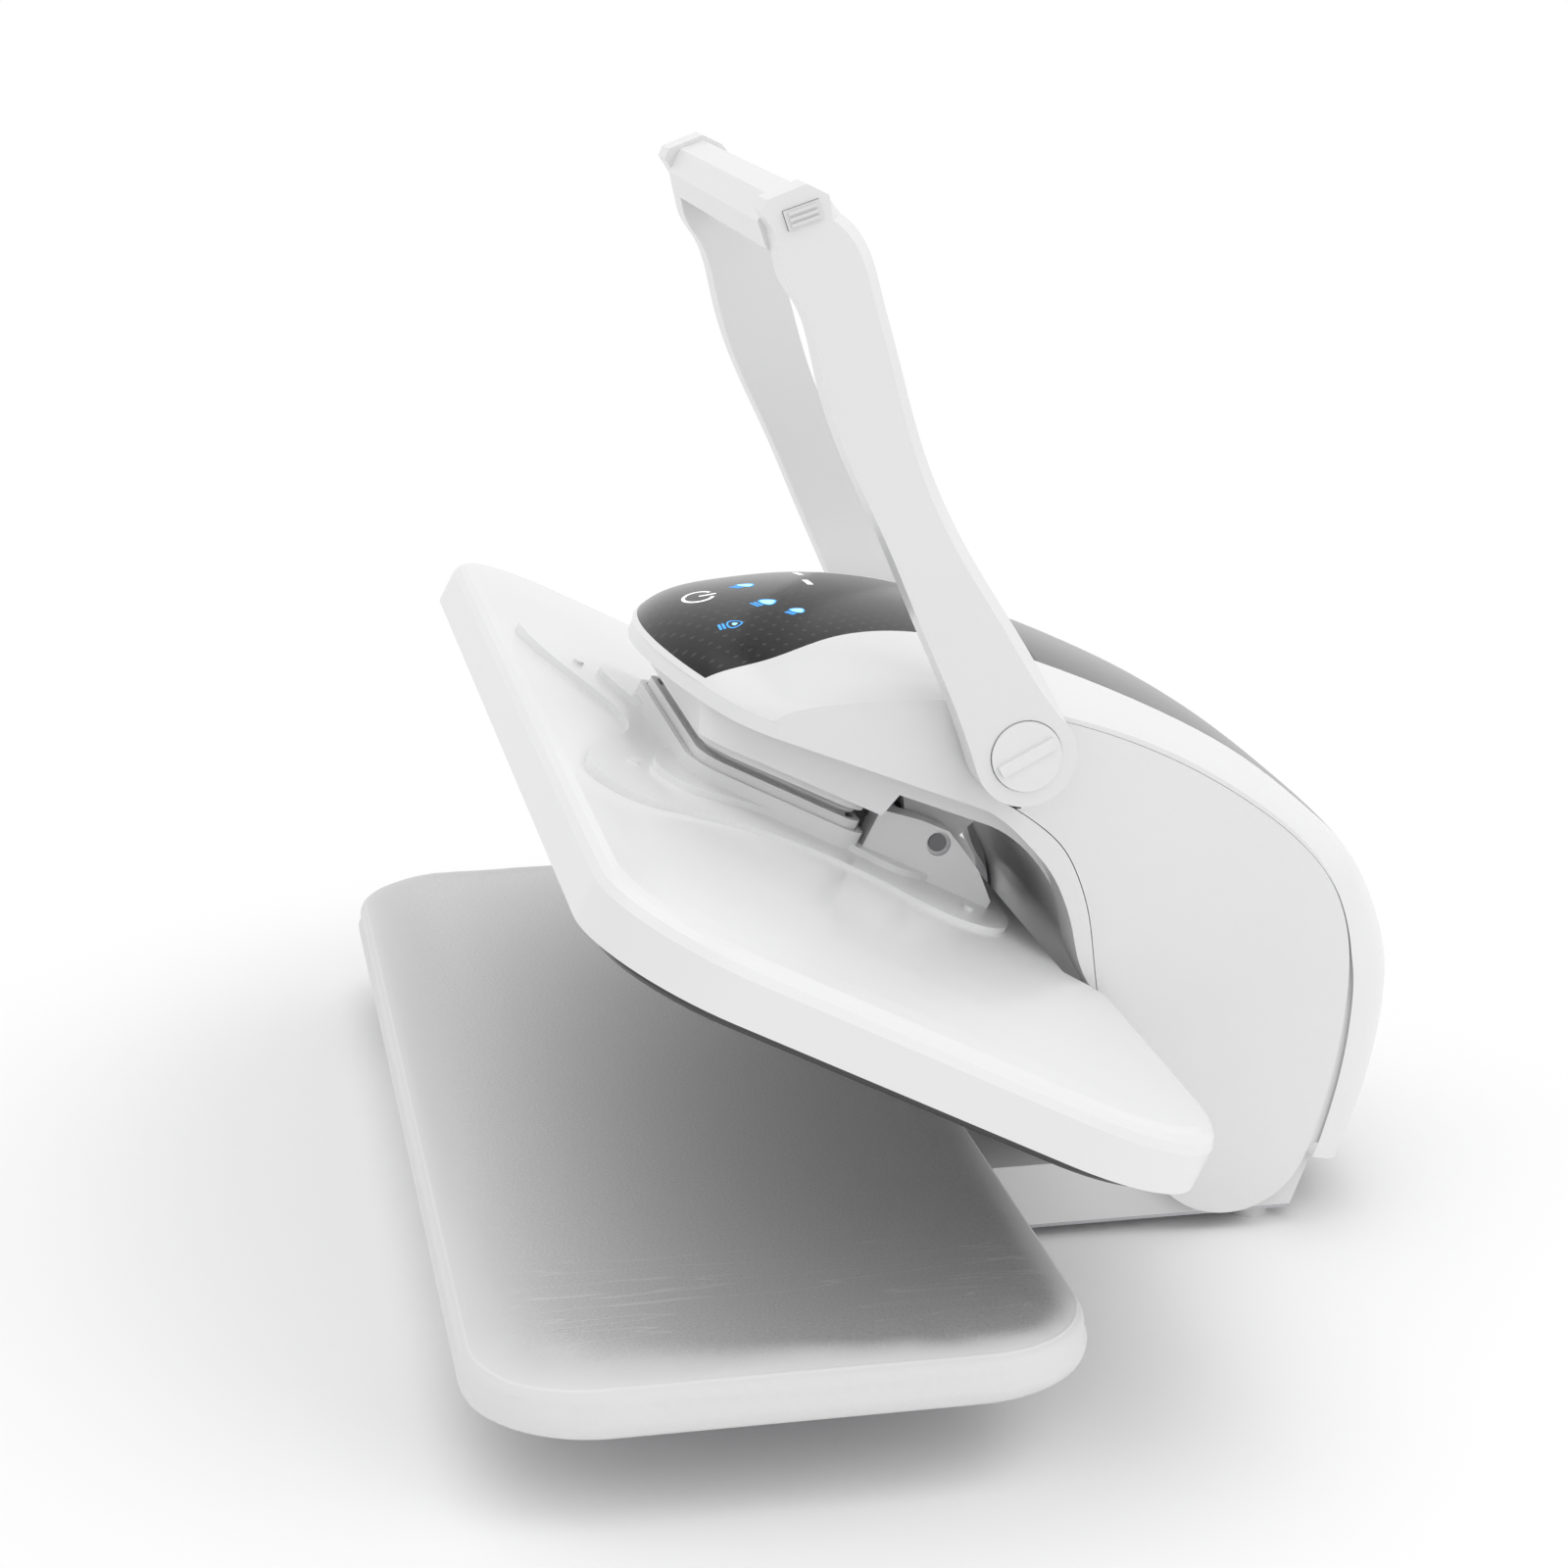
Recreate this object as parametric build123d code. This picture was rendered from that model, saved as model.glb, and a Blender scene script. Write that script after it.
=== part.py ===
from build123d import *

import math
import os

# A table-top steam ironing press, open, as it stands when its handle is held up.
# X runs along the ironing board, the user stands at -Y, the hinge is at +Y, and
# Z is up. The origin is on the table, under the middle of the whole press.
# All sizes are in millimetres.

# The middle of the whole press, from the line that the pieces are drawn from
MIDDLE_Y = 1.35

# Ironing board
BOARD_LENGTH = 648.0
BOARD_WIDTH = 244.0
BOARD_CORNER = 51.0
BOARD_Y = -103.0
BOARD_UNDER = 35.0
BOARD_PLATE_TOP = 42.0
BOARD_EDGE_TOP = 58.5
BOARD_CROWN = 1.5
COVER_CLOTH = 1.2
COVER_HEM = 22.0

# Base
FOOT_HEIGHT = 5.0
FOOT_RADIUS = 9.0
PAN_THICKNESS = 1.5
BASE_HALF = 100.0
BASE_FRONT_Y = -196.0
BASE_SEAM_Y = 82.0
BASE_REAR_Y = 167.0
BASE_WING_HALF = 190.0
BASE_WING_DEPTH = 70.0
WALL = 3.0

# Main hinge, and the round heel of the arm above it, from which the arm is drawn
PIVOT_Y = 130.0
PIVOT_Z = 28.0
HEEL_Y = 135.0
HEEL_Z = 47.0
OPEN_DEG = 22.0
SHAFT_RADIUS = 8.0
RUNNING_GAP = 0.05
BUSH_RADIUS = 11.0
BRACKET_X = 66.0
SPRING_X = 18.0
SPRING_LENGTH = 30.0
SPRING_RADIUS = 11.0
WIRE = 3.0
GLAND_Y = 92.0
GLAND_Z = 18.0
GLAND_RADIUS = 5.0
GLAND_BORE = 3.4
GLAND_START = -104.5
GLAND_END = -82.5
FRAME_X = 76.0
SHEET = 4.0

# Arm, drawn with its lip level and its heel at the origin
ARM_HALF = 108.0
HUB_RADIUS = 39.0
LIP_LEVEL = 108.0
LIP_HEIGHT = 6.5
SEAM_Y = -150.0
SKIN = 3.0
LENS = 1.6
LENS_HALF = 57.0
PANEL_SHEET = 3.0
BELLY_HALF = 88.0

# Handle, drawn as it stands, with its own pivot at the origin
HANDLE_PIVOT = (-165.0, 133.0)
HANDLE_INNER = 111.5
HANDLE_OUTER = 131.0
HANDLE_PIN_RADIUS = 7.0
HANDLE_FOOT = 22.0
BEVEL = 5.0
GRIP_CENTRE = (-94.0, 220.0)
GRIP_FLATS = 28.0
CAP_RADIUS = 15.5

# Heated platen, drawn flat, with its suspension pin at the origin
PIN_AT = (-164.0, 73.0)
FLOAT_DEG = 5.3
PIN_RADIUS = 4.0
PIN_RECESS = 5.5
LUG_X = 60.0
LUG_HALF = 7.0
PLATEN_FRONT = -186.0
PLATEN_REAR = 89.0
PLATEN_HALF = 323.0
CORNER_FRONT = 56.0
CORNER_REAR = 80.0
RIM_UNDER = -46.7
SOLE_UNDER = -51.5
SOLE_TOP = -44.5
SOLE_INSET = 10.0
SOLE_REAR = 76.0
NOTCH_HALF = 114.0
NOTCH_REAR = 80.5
ISLAND_TOP = -17.5
STEP_TOP = -14.5
STEAM_HOLE_RADIUS = 1.8
INLET_Y = -80.0

# The hinge seen from the arm's own origin
TURN = math.radians(OPEN_DEG)
PIVOT_IN_ARM = (
    (PIVOT_Y - HEEL_Y) * math.cos(TURN) - (PIVOT_Z - HEEL_Z) * math.sin(TURN),
    (PIVOT_Y - HEEL_Y) * math.sin(TURN) + (PIVOT_Z - HEEL_Z) * math.cos(TURN),
)

# Fixed frames of the three moving bodies
ARM_FRAME = Pos(0, HEEL_Y, HEEL_Z) * Rot(-OPEN_DEG, 0, 0)
PLATEN_FRAME = ARM_FRAME * Pos(0, *PIN_AT) * Rot(-FLOAT_DEG, 0, 0)
HANDLE_FRAME = ARM_FRAME * Pos(0, *HANDLE_PIVOT) * Rot(OPEN_DEG, 0, 0)


def rounded(length, width, corner, height, middle=(0.0, 0.0, 0.0)):
    """A rounded plate with its underside's centre at the given point."""
    return Pos(*middle) * extrude(RectangleRounded(length, width, corner), height)


def box_between(low, high):
    """A box from its lowest to its highest corner."""
    size = [b - a for a, b in zip(low, high)]
    centre = [(a + b) / 2 for a, b in zip(low, high)]
    return Pos(*centre) * Box(*size)


def rod(radius, x_from, x_to, y=0.0, z=0.0):
    """A cylinder along X between two X values."""
    middle = (x_from + x_to) / 2
    return Pos(middle, y, z) * Rot(0, 90, 0) * Cylinder(radius, abs(x_to - x_from))


def side_view(sketch, x):
    """Stands a sketch upright at one X, with its axes along Y and Z of the press."""
    return Plane(origin=(x, 0, 0), x_dir=(0, 1, 0), z_dir=(1, 0, 0)) * sketch


def upright(sketch, x_from, x_to):
    """Extrudes a side view along X."""
    return extrude(side_view(sketch, x_from), amount=x_to - x_from, dir=(1, 0, 0))


def outline(points, corner=0.0):
    """A closed face with straight sides, its corners rounded where asked."""
    if corner > 0:
        return make_face(FilletPolyline(*points, radius=corner, close=True))
    return make_face(Polyline(*points, close=True))


def both_sides(shape):
    """The shape and its mirror image across the middle plane."""
    return [shape, mirror(shape, Plane.YZ)]


def plan_face(half_x, front, rear, corner_front, corner_rear):
    """A plate's outline with larger or smaller corners at the front than at the rear."""
    bend_front = corner_front * (1 - math.sqrt(0.5))
    bend_rear = corner_rear * (1 - math.sqrt(0.5))
    front_left = (-half_x + corner_front, front)
    front_right = (half_x - corner_front, front)
    right_front = (half_x, front + corner_front)
    right_rear = (half_x, rear - corner_rear)
    rear_right = (half_x - corner_rear, rear)
    rear_left = (-half_x + corner_rear, rear)
    left_rear = (-half_x, rear - corner_rear)
    left_front = (-half_x, front + corner_front)
    edges = [
        Line(front_left, front_right),
        ThreePointArc(front_right, (half_x - bend_front, front + bend_front), right_front),
        Line(right_front, right_rear),
        ThreePointArc(right_rear, (half_x - bend_rear, rear - bend_rear), rear_right),
        Line(rear_right, rear_left),
        ThreePointArc(rear_left, (-half_x + bend_rear, rear - bend_rear), left_rear),
        Line(left_rear, left_front),
        ThreePointArc(left_front, (-half_x + bend_front, front + bend_front), front_left),
    ]
    return make_face(edges)


def ring(length, width, corner, height, middle):
    """A short upright skirt of one wall thickness, open at both ends."""
    inner = (length - 2 * WALL, width - 2 * WALL, max(corner - WALL, 1.0))
    outside = rounded(length, width, corner, height, middle)
    return outside - rounded(*inner, height + 2, (middle[0], middle[1], middle[2] - 1))


def layered(sections):
    """A ruled loft through rounded rectangles: (z, half_x, y_low, y_high, corner)."""
    faces = []
    for level, half_x, y_low, y_high, corner in sections:
        shape = RectangleRounded(2 * half_x, y_high - y_low, corner)
        faces.append(Pos(0, (y_low + y_high) / 2, level) * shape)
    return loft(faces, ruled=True)


def board_section(level, inset):
    """One section of the board's soft edge, drawn in from its full outline."""
    half = BOARD_WIDTH / 2 - inset
    corner = BOARD_CORNER - inset
    return (level, BOARD_LENGTH / 2 - inset, BOARD_Y - half, BOARD_Y + half, corner)


# Ironing board


def board_solid(skin):
    """The padded board, or the same form one cloth thickness further in."""
    edge = BOARD_EDGE_TOP - skin
    sections = [
        board_section(BOARD_UNDER + skin, 3.0 + skin),
        board_section(BOARD_UNDER + 3.0, 0.7 + skin),
        board_section(BOARD_UNDER + 8.0, skin),
        board_section(edge - 8.0, skin),
        board_section(edge - 4.0, 1.2 + skin),
        board_section(edge - 1.5, 4.2 + skin),
        board_section(edge, 9.5 + skin),
        board_section(edge + 0.6 * BOARD_CROWN, 26.0),
        board_section(edge + BOARD_CROWN, 48.0),
    ]
    return layered(sections)


def board_pieces():
    inside = board_solid(COVER_CLOTH)
    under_plate = BOARD_PLATE_TOP + 50.0
    split = box_between((-400, -400, BOARD_PLATE_TOP), (400, 400, under_plate))
    pad = inside & split
    plate = inside - split
    cloth = board_solid(0.0) - inside
    opening = rounded(
        BOARD_LENGTH - 2 * COVER_HEM,
        BOARD_WIDTH - 2 * COVER_HEM,
        BOARD_CORNER - COVER_HEM / 2,
        3 * COVER_CLOTH,
        (0, BOARD_Y, BOARD_UNDER - COVER_CLOTH),
    )
    rail = rounded(
        BOARD_LENGTH - 2 * COVER_HEM - 8,
        BOARD_WIDTH - 2 * COVER_HEM - 8,
        BOARD_CORNER - COVER_HEM / 2 - 4,
        COVER_CLOTH,
        (0, BOARD_Y, BOARD_UNDER),
    )
    return {
        "board_pad": pad,
        "board_plate": plate + rail,
        "board_cover": cloth - opening,
    }


# Base


def base_pieces():
    low = FOOT_HEIGHT + PAN_THICKNESS
    spine = box_between((-BASE_HALF, BASE_FRONT_Y, low), (BASE_HALF, BASE_SEAM_Y, BOARD_UNDER))
    spine = fillet(spine.edges().filter_by(Axis.Z).group_by(Axis.Y)[0], 12)
    wing = rounded(
        2 * BASE_WING_HALF,
        BASE_WING_DEPTH,
        20,
        BOARD_UNDER - low,
        (0, BASE_FRONT_Y + BASE_WING_DEPTH / 2, low),
    )
    housing = spine + wing
    hollow_spine = box_between(
        (-BASE_HALF + WALL, BASE_FRONT_Y + WALL, low),
        (BASE_HALF - WALL, BASE_SEAM_Y, BOARD_UNDER - WALL),
    )
    hollow_wing = rounded(
        2 * (BASE_WING_HALF - WALL),
        BASE_WING_DEPTH - 2 * WALL,
        17,
        BOARD_UNDER - WALL - low,
        (0, BASE_FRONT_Y + BASE_WING_DEPTH / 2, low),
    )
    housing = housing - hollow_spine - hollow_wing
    ribs = [
        box_between((-BASE_HALF + WALL, y, low), (BASE_HALF - WALL, y + 2.5, BOARD_UNDER - WALL))
        for y in (-120.0, -60.0, 0.0)
    ]
    housing = housing + ribs

    # The rear cover is a tub round the hinge, open at the top for the arm.
    side = outline(
        [
            (BASE_SEAM_Y, low),
            (BASE_REAR_Y, low),
            (BASE_REAR_Y + 9, 29.0),
            (BASE_REAR_Y + 4, 35.0),
            (BASE_SEAM_Y + 12, 37.0),
            (BASE_SEAM_Y, BOARD_UNDER),
        ]
    )
    inner = outline(
        [
            (BASE_SEAM_Y - 1, low - 1),
            (BASE_REAR_Y - WALL, low - 1),
            (BASE_REAR_Y + 5.5, 29.0),
            (BASE_REAR_Y + 1, 50.0),
            (BASE_SEAM_Y + 15, 50.0),
            (BASE_SEAM_Y + 15, BOARD_UNDER - WALL),
            (BASE_SEAM_Y - 1, BOARD_UNDER - WALL),
        ]
    )
    rear = upright(side, -BASE_HALF, BASE_HALF) - upright(inner, -BASE_HALF + WALL, BASE_HALF - WALL)
    gland = rod(GLAND_RADIUS, GLAND_START, GLAND_END, GLAND_Y, GLAND_Z)
    rear = rear - gland

    pan = box_between(
        (-BASE_HALF, BASE_FRONT_Y + BASE_WING_DEPTH, FOOT_HEIGHT),
        (BASE_HALF, BASE_REAR_Y, low),
    )
    pan_wing = rounded(
        2 * BASE_WING_HALF,
        BASE_WING_DEPTH + 0.01,
        20,
        PAN_THICKNESS,
        (0, BASE_FRONT_Y + BASE_WING_DEPTH / 2, FOOT_HEIGHT),
    )
    filler = box_between(
        (-BASE_HALF, BASE_FRONT_Y + BASE_WING_DEPTH - 25, FOOT_HEIGHT),
        (BASE_HALF, BASE_FRONT_Y + BASE_WING_DEPTH + 1, low),
    )
    pan = pan + pan_wing + filler

    foot = Cone(FOOT_RADIUS - 1, FOOT_RADIUS, FOOT_HEIGHT)
    places = [(x, -172.0) for x in (-170.0, 170.0)] + [(x, 151.0) for x in (-90.0, 90.0)]
    feet = [Pos(x, y, FOOT_HEIGHT / 2) * foot for x, y in places]

    bracket = outline(
        [
            (PIVOT_Y - 26, low),
            (PIVOT_Y + 26, low),
            (PIVOT_Y + 16, PIVOT_Z + 4),
            (PIVOT_Y + 8, PIVOT_Z + 15),
            (PIVOT_Y - 8, PIVOT_Z + 15),
            (PIVOT_Y - 16, PIVOT_Z + 4),
        ]
    )
    plate = upright(bracket, BRACKET_X - SHEET, BRACKET_X)
    plate = plate - rod(BUSH_RADIUS, 0, 100, PIVOT_Y, PIVOT_Z)
    tab = box_between(
        (BRACKET_X - SHEET - 18, PIVOT_Y - 26, low),
        (BRACKET_X - SHEET, PIVOT_Y + 26, low + 3),
    )
    bracket_right = plate + tab
    bush = rod(BUSH_RADIUS, BRACKET_X - SHEET - 2, BRACKET_X + 2, PIVOT_Y, PIVOT_Z)
    bush = bush - rod(SHAFT_RADIUS + RUNNING_GAP, 0, 100, PIVOT_Y, PIVOT_Z)

    collar = rod(GLAND_RADIUS + 2, GLAND_START, -BASE_HALF, GLAND_Y, GLAND_Z)
    nut = rod(GLAND_RADIUS + 2, -BASE_HALF + WALL, -BASE_HALF + WALL + 4, GLAND_Y, GLAND_Z)
    bore = rod(GLAND_BORE, GLAND_START - 1, GLAND_END + 1, GLAND_Y, GLAND_Z)
    cord_gland = gland + collar + nut - bore

    board_inside = [
        box_between((-50, 92, low + 6), (50, 108, low + 7.6)),
        box_between((-40, 94, low + 7.6), (-22, 106, low + 19)),
        Pos(6, 100, low + 13.6) * Cylinder(6, 12),
        box_between((20, 94, low + 7.6), (42, 106, low + 15)),
    ]
    power_board = Part() + board_inside
    standoffs = box_between((-50, 96, low), (-46, 104, low + 6))
    standoffs_far = box_between((46, 96, low), (50, 104, low + 6))
    power_board = power_board + standoffs + standoffs_far

    # Two torsion springs round the shaft carry most of the arm's weight.
    coil = Helix(pitch=WIRE + 0.5, height=SPRING_LENGTH, radius=SPRING_RADIUS)
    wire_end = Plane(coil @ 0, z_dir=coil % 0)
    spring = sweep(wire_end * Circle(WIRE / 2), path=coil, is_frenet=True)
    spring = Pos(SPRING_X, PIVOT_Y, PIVOT_Z) * Rot(0, 90, 0) * spring

    return {
        "lift_springs": both_sides(spring),
        "base_housing": housing,
        "base_rear_cover": rear,
        "base_pan": pan,
        "rubber_feet": feet,
        "hinge_bracket_right": bracket_right,
        "hinge_bracket_left": mirror(bracket_right, Plane.YZ),
        "hinge_bushes": both_sides(bush),
        "cord_gland": cord_gland,
        "power_board": power_board,
    }


# Arm


def arm_curves(inset):
    """Side views of the arm at X = 0, 40, 80 and 108, from the nose over the top to the heel."""
    crest = [
        (-310, 108), (-301, 121), (-277, 137), (-244, 151), (-205, 161.5),
        (-152, 165), (-96, 162.5), (-43, 155), (-4, 143), (25, 131),
        (46, 115), (60, 97), (69, 74), (73, 46), (73.5, 6),
    ]
    shoulder = [
        (-292, 108), (-286, 116), (-268, 128), (-240, 142), (-202, 154),
        (-152, 159.5), (-96, 158.5), (-43, 151), (-4, 138.5), (14, 130),
        (32.5, 113.5), (47.7, 94), (56, 74.5), (62.5, 46), (66, 6),
    ]
    cheek = [
        (-266, 108), (-260, 114), (-246, 122), (-224, 132), (-194, 142),
        (-150, 150.5), (-96, 151.5), (-50, 143.5), (-20, 133), (2, 118),
        (16, 100), (25, 80), (31, 60), (36, 36), (39, 6),
    ]
    middle = [((3 * a[0] + b[0]) / 4, (3 * a[1] + b[1]) / 4) for a, b in zip(crest, shoulder)]
    return [drawn_in(curve, inset) for curve in (crest, middle, shoulder, cheek)]


def drawn_in(curve, inset):
    """Moves the points of an open curve square to it, towards the inside of the arm."""
    if inset == 0:
        return curve
    moved = []
    for index, (y, z) in enumerate(curve):
        before = curve[max(index - 1, 0)]
        after = curve[min(index + 1, len(curve) - 1)]
        dy, dz = after[0] - before[0], after[1] - before[1]
        length = math.hypot(dy, dz)
        moved.append((y + inset * dz / length, z - inset * dy / length))
    return moved


def arm_solid(inset, half_widths, drop=0.0):
    """The arm's outer form, or a smaller one inside it whose open edges run on by drop."""
    crest, middle, shoulder, cheek = arm_curves(inset)
    outer_x, shoulder_x, middle_x = half_widths
    faces = []
    for x, curve in (
        (-outer_x, cheek), (-shoulder_x, shoulder), (-middle_x, middle), (0, crest),
        (middle_x, middle), (shoulder_x, shoulder), (outer_x, cheek),
    ):
        first, last = curve[0], curve[-1]
        nose = (first[0], LIP_LEVEL - drop)
        heel = (last[0], -drop)
        rim = [last, heel, (-30 - drop, -drop), (-100 - drop, LIP_LEVEL - drop), nose]
        if drop > 0:
            rim.append(first)
        faces.append(side_view(make_face([Spline(*curve), Polyline(*rim)]), x))
    return loft(faces)


def trim_line():
    """The line where the side panel meets the lower trim, from the nose to the hub."""
    return [
        (-164, 108), (-152, 106), (-138, 102.3), (-125, 96.5), (-114, 87), (-103.5, 74),
        (-94.5, 58.5), (-86, 43), (-79, 30), (-74, 16), (-58, -8),
    ]


def trim_edge():
    """The free lower edge of the trim, from the nose to the hub."""
    return [
        (-164, 101.5), (-152, 98.5), (-139, 92.5), (-127.5, 86), (-116.5, 76.3), (-106.3, 63.5),
        (-99, 52.5), (-90.5, 44), (-83.5, 38), (-79.5, 30), (-77.5, 18), (-68, -8),
    ]


def belly_edge():
    """The front of the recessed column between the two trims, from the lugs down."""
    return [(-152, 92), (-126, 83), (-109, 69), (-97, 55), (-87, 45.5), (-80, 36), (-75, 14)]


def panel_face(inset):
    """The flat side panel: its top and back follow the shell, its foot is round."""
    cheek = arm_curves(inset)[3]
    back = [point for point in cheek if point[0] > SEAM_Y]
    start = (SEAM_Y, cheek[5][1])
    line = [(y + 0.3, z + 0.3) for y, z in trim_line()]
    hub_left = (-HUB_RADIUS * math.cos(math.radians(38)), -HUB_RADIUS * math.sin(math.radians(38)))
    heel = back[-1]
    foot_right = (HUB_RADIUS - inset, 0)
    edges = [
        Spline(start, *back),
        Line(heel, foot_right),
        ThreePointArc(foot_right, (0, -HUB_RADIUS), hub_left),
        Line(hub_left, line[-1]),
        Spline(*reversed(line[1:])),
        Line(line[1], (SEAM_Y, line[1][1] + 0.8)),
        Line((SEAM_Y, line[1][1] + 0.8), start),
    ]
    return make_face(edges)


def arm_pieces():
    outer = arm_solid(0, (ARM_HALF, 80, 40))
    under_lens = arm_solid(LENS, (ARM_HALF + 1, 79, 39.5), 12)
    inner = arm_solid(SKIN, (ARM_HALF + 2, 78, 39), 24)
    nose_hollow = arm_solid(SKIN, (ARM_HALF - SKIN, 77, 38.5), 24)
    ahead = box_between((-200, -400, -100), (200, SEAM_Y, 300))
    behind = box_between((-200, SEAM_Y, -100), (200, 200, 300))

    # The dark lens is wide at the nose and narrows to the spine strip.
    lens_plan = make_face(
        [
            Spline((-LENS_HALF, SEAM_Y), (-LENS_HALF - 1, -200), (-67, -244), (-80, -279), (-74, -297), (0, -312.5),
                   (74, -297), (80, -279), (67, -244), (LENS_HALF + 1, -200), (LENS_HALF, SEAM_Y)),
            Line((LENS_HALF, SEAM_Y), (-LENS_HALF, SEAM_Y)),
        ]
    )
    lens_prism = Pos(0, 0, 110.5) * extrude(lens_plan, 120)
    lens_skin = outer - under_lens
    control_panel = (lens_skin & lens_prism) & ahead
    strip_zone = box_between((-LENS_HALF, SEAM_Y, 62), (LENS_HALF, 200, 300))
    spine_strip = (lens_skin & strip_zone) & behind

    nose = (outer & ahead) - nose_hollow - control_panel
    shell = (outer & behind) - inner - spine_strip
    pin_hole = rod(HANDLE_PIN_RADIUS, -140, 140, *HANDLE_PIVOT)
    nose = nose - pin_hole

    # The side panel's top and back edges follow the inside of the shell.
    shell_space = outer - arm_solid(SKIN + 0.3, (ARM_HALF + 2, 78, 39), 24)
    panel = upright(panel_face(1.0), ARM_HALF - PANEL_SHEET, ARM_HALF) - shell_space

    # Lower housing: a band under each cheek and a deeper belly between them.
    line, edge, belly = trim_line(), trim_edge(), belly_edge()
    nose_front = -262
    band = make_face(
        [
            Line((nose_front, LIP_LEVEL), line[0]),
            Spline(*line),
            Line(line[-1], edge[-1]),
            Spline(*reversed(edge)),
            Line(edge[0], (nose_front, LIP_LEVEL - LIP_HEIGHT)),
            Line((nose_front, LIP_LEVEL - LIP_HEIGHT), (nose_front, LIP_LEVEL)),
        ]
    )
    flange = upright(band, BELLY_HALF - SKIN, ARM_HALF)
    nose_plan = make_face(
        [
            Polyline((-ARM_HALF, -262), (ARM_HALF, -262)),
            Spline((ARM_HALF, -262), (103, -277), (80, -292), (40, -305), (0, -310),
                   (-40, -305), (-80, -292), (-103, -277), (-ARM_HALF, -262)),
        ]
    )
    chin = Pos(0, 0, LIP_LEVEL - LIP_HEIGHT) * extrude(nose_plan, LIP_HEIGHT)
    belly_out = make_face(
        [
            Polyline((-292, LIP_LEVEL - 2), (-287, 88), (-200, 81), (-196, 92), belly[0]),
            Spline(*belly),
            Polyline(belly[-1], (-60, 18), (-80, 66), (-108, 96), (-150, LIP_LEVEL - 2), (-292, LIP_LEVEL - 2)),
        ]
    )
    column_front = [(y + 2.2, z + 2.4) for y, z in belly]
    belly_in = make_face(
        [
            Polyline((-287, LIP_LEVEL + 1), (-283, 91), (-203, 84.3), (-199, 94.4), column_front[0]),
            Spline(*column_front),
            Polyline(column_front[-1], (-72.8, 6), (-40, 20), (-84, 90), (-112, 112), (-287, LIP_LEVEL + 1)),
        ]
    )
    tray = upright(belly_out, -BELLY_HALF, BELLY_HALF)
    tray = tray & rounded(2 * BELLY_HALF, 284, 20, 140, (0, -150, -20))
    tray_space = upright(belly_in, -BELLY_HALF + SKIN, BELLY_HALF - SKIN)
    tray = tray - (tray_space & rounded(2 * (BELLY_HALF - SKIN), 278, 17, 140, (0, -150, -20)))
    chin_hollow = Pos(0, 0, LIP_LEVEL - LIP_HEIGHT - 1) * extrude(
        Pos(0, -276) * RectangleRounded(2 * (BELLY_HALF - SKIN), 40, 8), LIP_HEIGHT + 2
    )
    lower = tray + chin + both_sides(flange)
    hose_hole = Pos(0, -244, 90) * Cylinder(16, 30)
    lower = lower - (chin_hollow & box_between((-200, -287, 80), (200, -200, 120))) - hose_hole

    # Inner steel frame
    rib = outline(
        [
            (16, -20), (34, 30), (30, 70), (4, 108), (-40, 134), (-100, 143), (-190, 143), (-262, 118),
            (-262, 111.5), (-128, 111.5), (-82, 92), (-52, 54), (-30, 10), (-13, -20), (-9, -32), (14, -32),
        ],
        3,
    )
    frame_plate = upright(rib, FRAME_X, FRAME_X + SHEET)
    windows = [rod(9, 0, 100, y, z) for y, z in ((0, 40), (-18, 80), (-70, 118), (-120, 127))]
    frame_plate = frame_plate - rod(SHAFT_RADIUS, 0, 100, *PIVOT_IN_ARM) - windows
    tubes = [rod(6, -FRAME_X, FRAME_X, y, z) for y, z in ((-236, 120), (-96, 126), (12, 66))]
    shaft = rod(SHAFT_RADIUS, -FRAME_X - SHEET - 2, FRAME_X + SHEET + 2, *PIVOT_IN_ARM)
    pins = rod(HANDLE_PIN_RADIUS, FRAME_X + SHEET, HANDLE_OUTER - 2, *HANDLE_PIVOT)

    # Water tank, pump and their hose in the column, and the panel's circuit board
    tank = outline([(-24, 62), (-6, 26), (22, 26), (28, 56), (18, 86), (-8, 108), (-48, 122), (-62, 104)], 6)
    tank_space = rod(7.5, -FRAME_X, FRAME_X, 12, 66)
    water_tank = upright(tank, -60, 60) - tank_space
    pump = rod(13, -40, 20, -86, 104) + rod(9, 20, 34, -86, 104)
    hose_path = FilletPolyline(
        (0, -120, 104), (0, -190, 104), (0, -244, 98), (0, -244, 86), radius=5
    )
    hose_start = Plane(hose_path @ 0, z_dir=hose_path % 0)
    pump_hose = sweep(hose_start * (Circle(4) - Circle(2.5)), path=hose_path)
    circuit = Pos(0, -238, 134) * Rot(22, 0, 0) * Box(96, 66, 1.6)
    chips = [Pos(x, y, z) * Rot(22, 0, 0) * Box(12, 9, 2.4) for x, y, z in ((-26, -232, 134.4), (24, -250, 127.1))]
    control_board = circuit + chips

    # Suspension hanger, which comes down through the belly to the platen's pin
    hanger_side = outline([(-186, 91.9), (-172, 66), (-156, 66), (-144, 91.9)])
    hanger = upright(hanger_side, LUG_X - 15, LUG_X - 9) - rod(PIN_RADIUS + RUNNING_GAP, 0, 100, *PIN_AT)
    hanger = hanger - upright(belly_out, -BELLY_HALF, BELLY_HALF)

    # The upper skirt hides the gap to the platen and follows the slope of the belly.
    skirt = ring(164, 80, 16, 30, (0, -243, 70))
    skirt_line = outline([(-290, 84.4), (-198, 77), (-198, 80.7), (-290, 88.1)])
    skirt_upper = skirt & upright(skirt_line, -BELLY_HALF, BELLY_HALF)

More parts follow.
